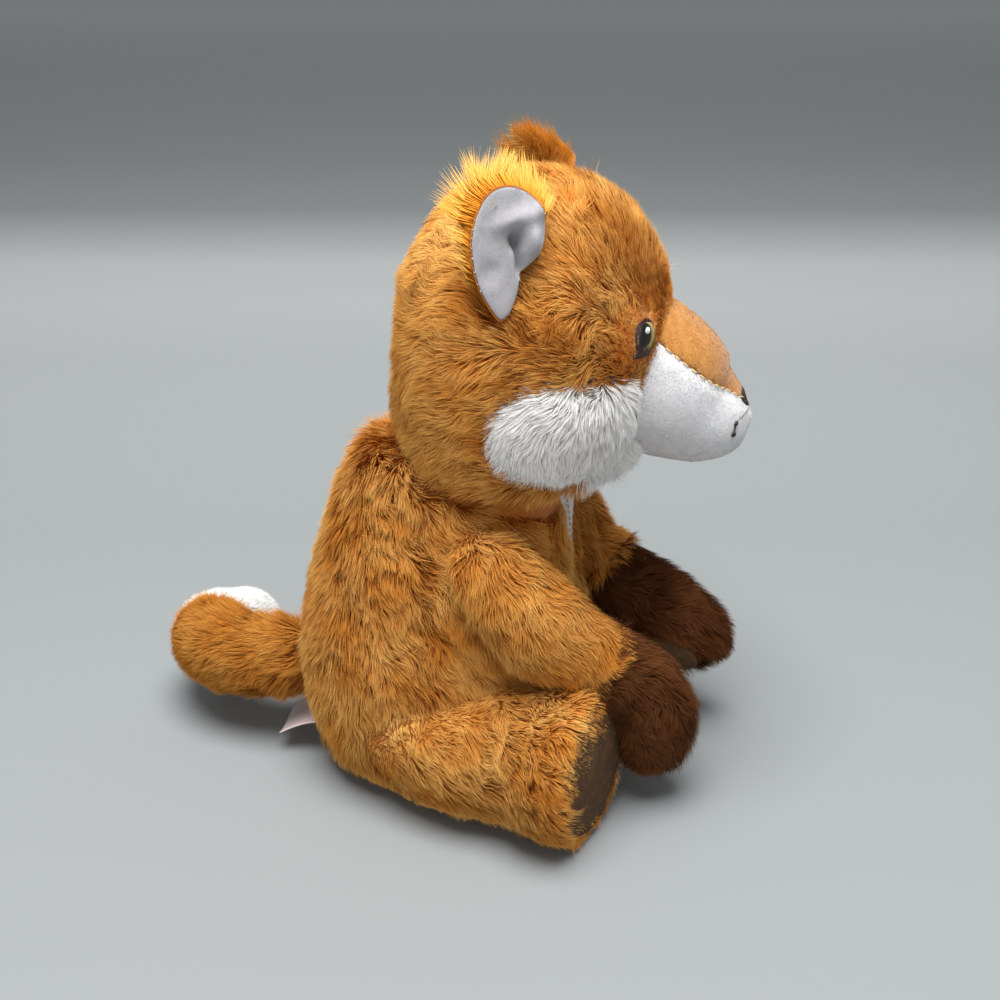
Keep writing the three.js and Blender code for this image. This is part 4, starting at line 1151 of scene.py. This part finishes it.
# Rows of thread that rise to the middle of an outline and sink into the cloth at its rim
def satinPad(name, body, material, frameOf, outline, turn, lift, rise, thickness, stands=()):
    outline = np.array(outline, float)
    middle = outline.mean(axis=0)
    reach = np.abs(outline - middle).max(axis=0) + 1e-6
    lines = []
    for (ax, ay), (bx, by) in rowsAcross(outline, turn, thickness * 0.82):
        line = []
        for share in (0, 0.08, 0.25, 0.5, 0.75, 0.92, 1):
            a, b = ax + (bx - ax) * share, ay + (by - ay) * share
            out = min(np.hypot(*((np.array([a, b]) - middle) / reach)), 1)
            sink = -0.7 if share in (0, 1) else 0
            line.append(frameOf(a, b, lift + rise * math.sqrt(1 - out ** 2) + sink))
        lines.append(line)
    return sewn(name, body, material, lines, thickness, stands, sides=5)


def facePlace(centre, facing, side, trees):  # how to find places on the face from a flat drawing
    off = 15  # how far off the face the rays start
    normal = unit(facing)
    upward = unit(np.array([0, 0, 1.0]) - normal * normal[2])
    front = unit(np.cross(upward, normal)) * -side

    def at(a, b, lift):
        point = centre + front * a + upward * b
        start = Vector(point + normal * off)
        gaps = [tree.ray_cast(start, Vector(-normal), 40)[3] for tree in trees]
        gap = min([g for g in gaps if g is not None] or [off])
        return point + normal * (off - gap + lift)
    return at


eyeLook = {
    "outline": [(-5.2, -2.2), (-5.4, 1.0), (-4.6, 3.6), (-2.4, 5.3), (0.4, 5.7), (3.4, 5.0), (5.4, 2.8),
                (6.2, -0.6), (5.4, -3.8), (3.2, -5.9), (0.0, -6.6), (-3.4, -6.5), (-6.4, -6.1),
                (-5.9, -5.0), (-5.3, -3.8)],
    "iris": [(-4.9, 0.6), (-4.2, 3.2), (-2.4, 4.6), (0.4, 5.0), (3.0, 4.2), (4.7, 2.0), (5.1, -0.8),
             (4.4, -3.2), (2.4, -4.9), (-0.6, -5.2), (-3.4, -4.6), (-4.8, -2.4)],
    "pupil": [(-4.7, 1.0), (-4.2, 3.0), (-2.6, 4.2), (-0.4, 4.4), (1.6, 3.2), (2.5, 0.9), (2.2, -1.3),
              (0.6, -2.9), (-1.6, -3.2), (-3.6, -2.2), (-4.6, -0.6)],
    "glint": [(-1.9, 1.9), (-1.3, 2.8), (-0.3, 3.0), (0.7, 2.4), (0.8, 1.5), (-0.2, 1.0), (-1.4, 1.1)],
}
eyeLayers = (("outline", brownThread, 0.3, 0.8), ("iris", goldThread, 1.2, 0.55),
             ("pupil", blackThread, 0.15, 0.55), ("glint", whiteThread, 0.8, 0.55))
stitching = {"thread": 0.5, "lowest": 0.15, "layer": 0.32}


def rounded(outline, steps=8):  # a flat outline with smooth corners
    return smoothPath([(*p, 0) for p in outline], closed=True, steps=steps)[:, :2]


for name, side in sides.items():
    place = facePlace(sided(eye["place"], side), sided(eye["facing"], side), side, [headIn, muzzleSkin])
    for k, (part, material, turn, rise) in enumerate(eyeLayers):
        satinPad(f"eye_{part}_{name}", "head", material, place, rounded(eyeLook[part]), -side * turn,
                 stitching["lowest"] + stitching["layer"] * k, rise, stitching["thread"], ["eye_" + name])

noseLook = {"place": [0, -105, 148], "facing": [0, -0.72, 0.69],
            "outline": [(-4.8, 1.4), (-3.2, 3.2), (0, 3.6), (3.2, 3.2), (4.8, 1.4),
                        (3.6, -1.2), (1.8, -2.8), (0, -3.4), (-1.8, -2.8), (-3.6, -1.2)]}
place = facePlace(np.array(noseLook["place"], float), noseLook["facing"], -1, [muzzleSkin])
satinPad("nose_satin", "head", noseThread, place, rounded(noseLook["outline"]), math.pi / 2, -0.1, 0.4,
         stitching["thread"], ["nose_embroidery"])

mouth = {"places": [(-12.7, 137.4), (-11.9, 142.0), (-7.0, 143.8), (0.0, 144.0),
                    (7.0, 143.8), (11.9, 142.0), (12.7, 137.4)],
         "crease": (2.2, 2.0, 0.1), "ends": (2.3, 2.2, 0.35),  # spacing, length and rise of the stitches
         "lowKnots": (1.4, 1.3, 0.6), "highKnots": (1.0, 0.9, 0.5),
         "creaseThread": 0.5, "endThread": 0.7, "knotThread": 1.25}


def nearNormal(points):  # the normal of the muzzle under each point
    return draped(muzzleSkin, points, 1.0) - draped(muzzleSkin, points, 0.0)


def mouthStitches(lines, kind):
    return [stitch for line in lines for stitch in stitchesAlong(line, *mouth[kind], nearNormal)]


drawnArch = smoothPath([(x, 0, z) for x, z in mouth["places"]], steps=10)
arch = np.array([fromFront(muzzleSkin, x, z)[0] for x, _, z in drawnArch])
ends = [line[:11] for line in (arch, arch[::-1])]
knots = mouthStitches([line[:4] for line in ends], "lowKnots")
knots += mouthStitches([line[8:] for line in ends], "highKnots")
sewn("mouth_thread", "head", creaseThread, mouthStitches([arch], "crease"),
     mouth["creaseThread"], ["mouth_stitches"])
sewn("mouth_ends", "head", blackThread, mouthStitches(ends, "ends"), mouth["endThread"])
sewn("mouth_knots", "head", blackThread, knots, mouth["knotThread"])

seamLines = []
for side in (-1, 1):
    line = []
    for t in np.linspace(0.0, 1.0, 40):
        along = seamBack + (seamTip - seamBack) * t
        start = along + np.array([side * 60.0, 0, 0])
        hit = muzzleSkin.ray_cast(Vector(start), Vector((-side, 0, 0)))[0]
        if hit is not None and heightsOver(headOut, [np.array(hit)])[0] > 0.5:
            line.append(np.array(hit))
    seamLines += stitchesAlong(draped(muzzleSkin, line, 0.25), seam["spacing"], seam["stitch"],
                               seam["rise"], nearNormal)
sewn("muzzle_seam_stitches", "head", paleThread, seamLines, seam["thread"])
print("face: embroidered")


# Ears: how far the folds of the cup stand out or go in
earFolds = {"pit": -5.6, "crease": -4.6, "lobe": 4.2, "roof": 2.0, "dimple": -0.9}
earFur = {"Density": 9.0e6, "Length": 1.4, "Lay": 0.62, "Wave": 0.7, "Tuft Pull": 0.15, "Skyward": 0.8}
earOutline = rounded(ear["outline"], steps=5) * ear["size"]
for name, side in sides.items():
    centre, facing, upward = earPlace(side)

    def cupped(a, b):
        return ear["cup"] * ((a / ear["halfWidth"]) ** 2 + ear["crest"] * (b / ear["halfHeight"]) ** 2)

    def pitted(a, b):  # the cup with the pit and its crease
        front = -side * a
        pit = earFolds["pit"] * np.exp(-((front - 2.6) / 1.9) ** 2 - ((b - 3.6) / 2.6) ** 2)
        crease = earFolds["crease"] * np.exp(-((front - 3.4) / 1.0) ** 2)
        return cupped(a, b) + pit + crease * smoothStep(5, 1, b) * smoothStep(-9, -4, b)

    def folded(a, b):  # with the front lobe that curls over the pit
        front = -side * a
        lobe = earFolds["lobe"] * np.exp(-((front - 7.6) / 2.8) ** 2 - ((b - 3.0) / 6.5) ** 2)
        roof = earFolds["roof"] * np.exp(-((b - 9.0 - 0.25 * front) / 2.6) ** 2)
        dimple = earFolds["dimple"] * np.exp(-((front + 6.0) / 3.0) ** 2 - ((b + 5.0) / 3.0) ** 2)
        return pitted(a, b) + lobe + roof * smoothStep(-8, 2, front) + dimple

    drawn = (earOutline * [-1, 1])[::-1] if side > 0 else earOutline

    # The cloth of the back, the pile that grows behind it, and the lining in front
    points, faces = pillow(centre, facing, upward, drawn * 1.03, 0.3, 2.4, bend=folded, rings=14)
    cloth = objectOf("ear_backing_" + name, meshOf("ear", points, faces), "ear_" + name,
                     orangeBacking, ["ear_back_" + name])
    points, faces = pillow(centre - facing * 1.5, facing, upward, drawn, 0.3, 2.4, bend=pitted, rings=14)
    normals = normalsOf(points, faces)
    behind = np.clip(-0.2 - normals @ facing, 0, 1)
    up = (points - centre) @ upward
    comb = upward - facing * 0.2 + unit(points - centre) * 0.8 * smoothStep(-6, 12, up)[:, None]
    grown = growPile("ear_pile_" + name, "ear_" + name, "long_orange_pile", litEarPile, points, faces,
                     combAlong(comb, normals), ear["pile"] + ear["topPile"] * smoothStep(2, 16, up),
                     np.minimum(behind * 3, 1) * (heightsOver(headIn, points) > -1), Seed=81 + side,
                     **earFur)
    points, faces = pillow(centre + facing * 0.5, facing, upward, drawn * 0.99, 1.6, 0.1, bend=folded,
                           rings=22)
    lining = objectOf("ear_lining_velour_" + name, meshOf("lining", points, faces), "ear_" + name,
                      shadedLiningVelour, ["ear_lining_" + name])
    clearOf(grown, treeOf(points, faces), facing)
    normals = normalsOf(points, faces)
    growPile("ear_nap_" + name, "ear_" + name, "short_white_velour", shadedLiningFuzz, points, faces,
             combAlong(upward, normals), np.ones(len(points)), normals @ facing > 0.1,
             Seed=91 + side, Length=1.0, **shortNap)
print("ears: dressed")


# Filling: fibre in every part, and a bag of pellets that weights the seat
def filling(name, node, body, material, form, spine=None, between=(0, 1), cuts=()):
    inset = fur["pile"] + fur["backing"] + fur["gap"]
    points, _, faces = softForm(form, spine, inset, between, around=32, rings=28)
    lumps = 0.25 if material is pelletCloth else 0.1
    points = rippled(points, normalsOf(points, faces), 9.0, lumps, 7.0)
    made = objectOf(name, trimmedMesh(name, points, faces, cuts), body, material, [node])


def above(z):  # cuts away what is higher
    return (0, 0, z), (0, 0, 1)


def below(z):  # cuts away what is lower
    return (0, 0, z), (0, 0, -1)


pelletTop, fromNeck = 30.0, 3.5
filling("body_fibre", "body_stuffing", "torso", fibre, bodyForm,
        cuts=[above(neckHeight - fromNeck), below(pelletTop + fur["gap"])])
filling("pellet_bag_cloth", "pellet_bag", "torso", pelletCloth, bodyForm,
        cuts=[above(pelletTop)])
filling("head_fibre", "head_stuffing", "head", fibre, headForm,
        cuts=[below(neckHeight + fromNeck)])
for name in sides:
    filling("arm_fibre_" + name, "arm_stuffing_" + name, "arm_" + name, fibre, armForm,
            armSpines[name])
    filling("leg_fibre_" + name, "leg_stuffing_" + name, "leg_" + name, fibre, legForm,
            legSpines[name], (0, legForm["soleShare"] - 0.03))
filling("tail_fibre", "tail_stuffing", "tail", fibre, tailForm, tailSpine)
print("filling: made")

# Camera and stage
look = {"target": [0, -20, 104], "azimuth": -82, "elevation": 23, "distance": 0.5, "lens": 50}
azimuth, elevation = math.radians(look["azimuth"]), math.radians(look["elevation"])
outward = Vector((math.sin(azimuth) * math.cos(elevation), -math.cos(azimuth) * math.cos(elevation),
                  math.sin(elevation)))
target = Vector(placed(look["target"])[0])
camera = bpy.data.objects.new("camera", bpy.data.cameras.new("camera"))
scene.collection.objects.link(camera)
camera.data.lens = look["lens"]
camera.data.sensor_width = 36
camera.location = target + outward * look["distance"]
camera.rotation_euler = outward.to_track_quat("Z", "Y").to_euler()
scene.camera = camera

# The greys paint light and shade: the floor brightens away from the toy, a dark band from 1 m stands in for
# the unlit backdrop, and the far end is a painted bright reflection
stage = {"reach": 7.0, "far": 4.0,  # metres; each grey stands at its distance behind the toy
         "lightAndShadeGreys": [(0.2, 146), (0.5, 161), (0.66, 175), (0.8, 180), (1.05, 143), (1.4, 143), (4.0, 184)]}


def stageFloor():
    reach = stage["reach"]
    mesh = bpy.data.meshes.new("floor")
    corners = [(-reach, -reach, 0), (reach, -reach, 0), (reach, reach, 0), (-reach, reach, 0)]
    mesh.from_pydata(corners, [], [(0, 1, 2, 3)])
    floor = bpy.data.objects.new("floor", mesh)
    scene.collection.objects.link(floor)
    material, tree, shader, add = newMaterial("paper floor")
    place = add("ShaderNodeTexCoord").outputs["Object"]
    away = tuple(-Vector((outward.x, outward.y, 0)).normalized())
    along = add("ShaderNodeVectorMath", {0: place, 1: away}, operation="DOT_PRODUCT").outputs["Value"]
    share = add("ShaderNodeMapRange", {"Value": along, "From Max": stage["far"]})
    stops = [(distance / stage["far"], (grey, grey + 4, grey + 4)) for distance, grey in stage["lightAndShadeGreys"]]
    tree.links.new(rampOf(add, share.outputs["Result"], stops), shader.inputs["Base Color"])
    setShader(shader, {"Roughness": 0.9, "Specular IOR Level": 0.2})
    mesh.materials.append(material)


stageFloor()


def softLight(name, place, size, power):
    lamp = bpy.data.lights.new(name, "AREA")
    lamp.shape = "DISK"
    lamp.size = size
    lamp.energy = power
    made = bpy.data.objects.new(name, lamp)
    scene.collection.objects.link(made)
    made.location = place
    made.rotation_euler = (Vector(place) - target).to_track_quat("Z", "Y").to_euler()


softLight("key_light", (-0.35, -0.05, 1.4), 1.0, 34)
softLight("fill_light", (-1.4, -0.3, 0.7), 1.2, 2.2)
world = bpy.data.worlds.new("studio")
world.use_nodes = True
background = world.node_tree.nodes["Background"].inputs
background["Color"].default_value = (0.97, 0.98, 1.0, 1)
background["Strength"].default_value = 0.34
scene.world = world
scene.view_settings.view_transform = "Standard"
print("stage: made")

bpy.data.objects.remove(strand)
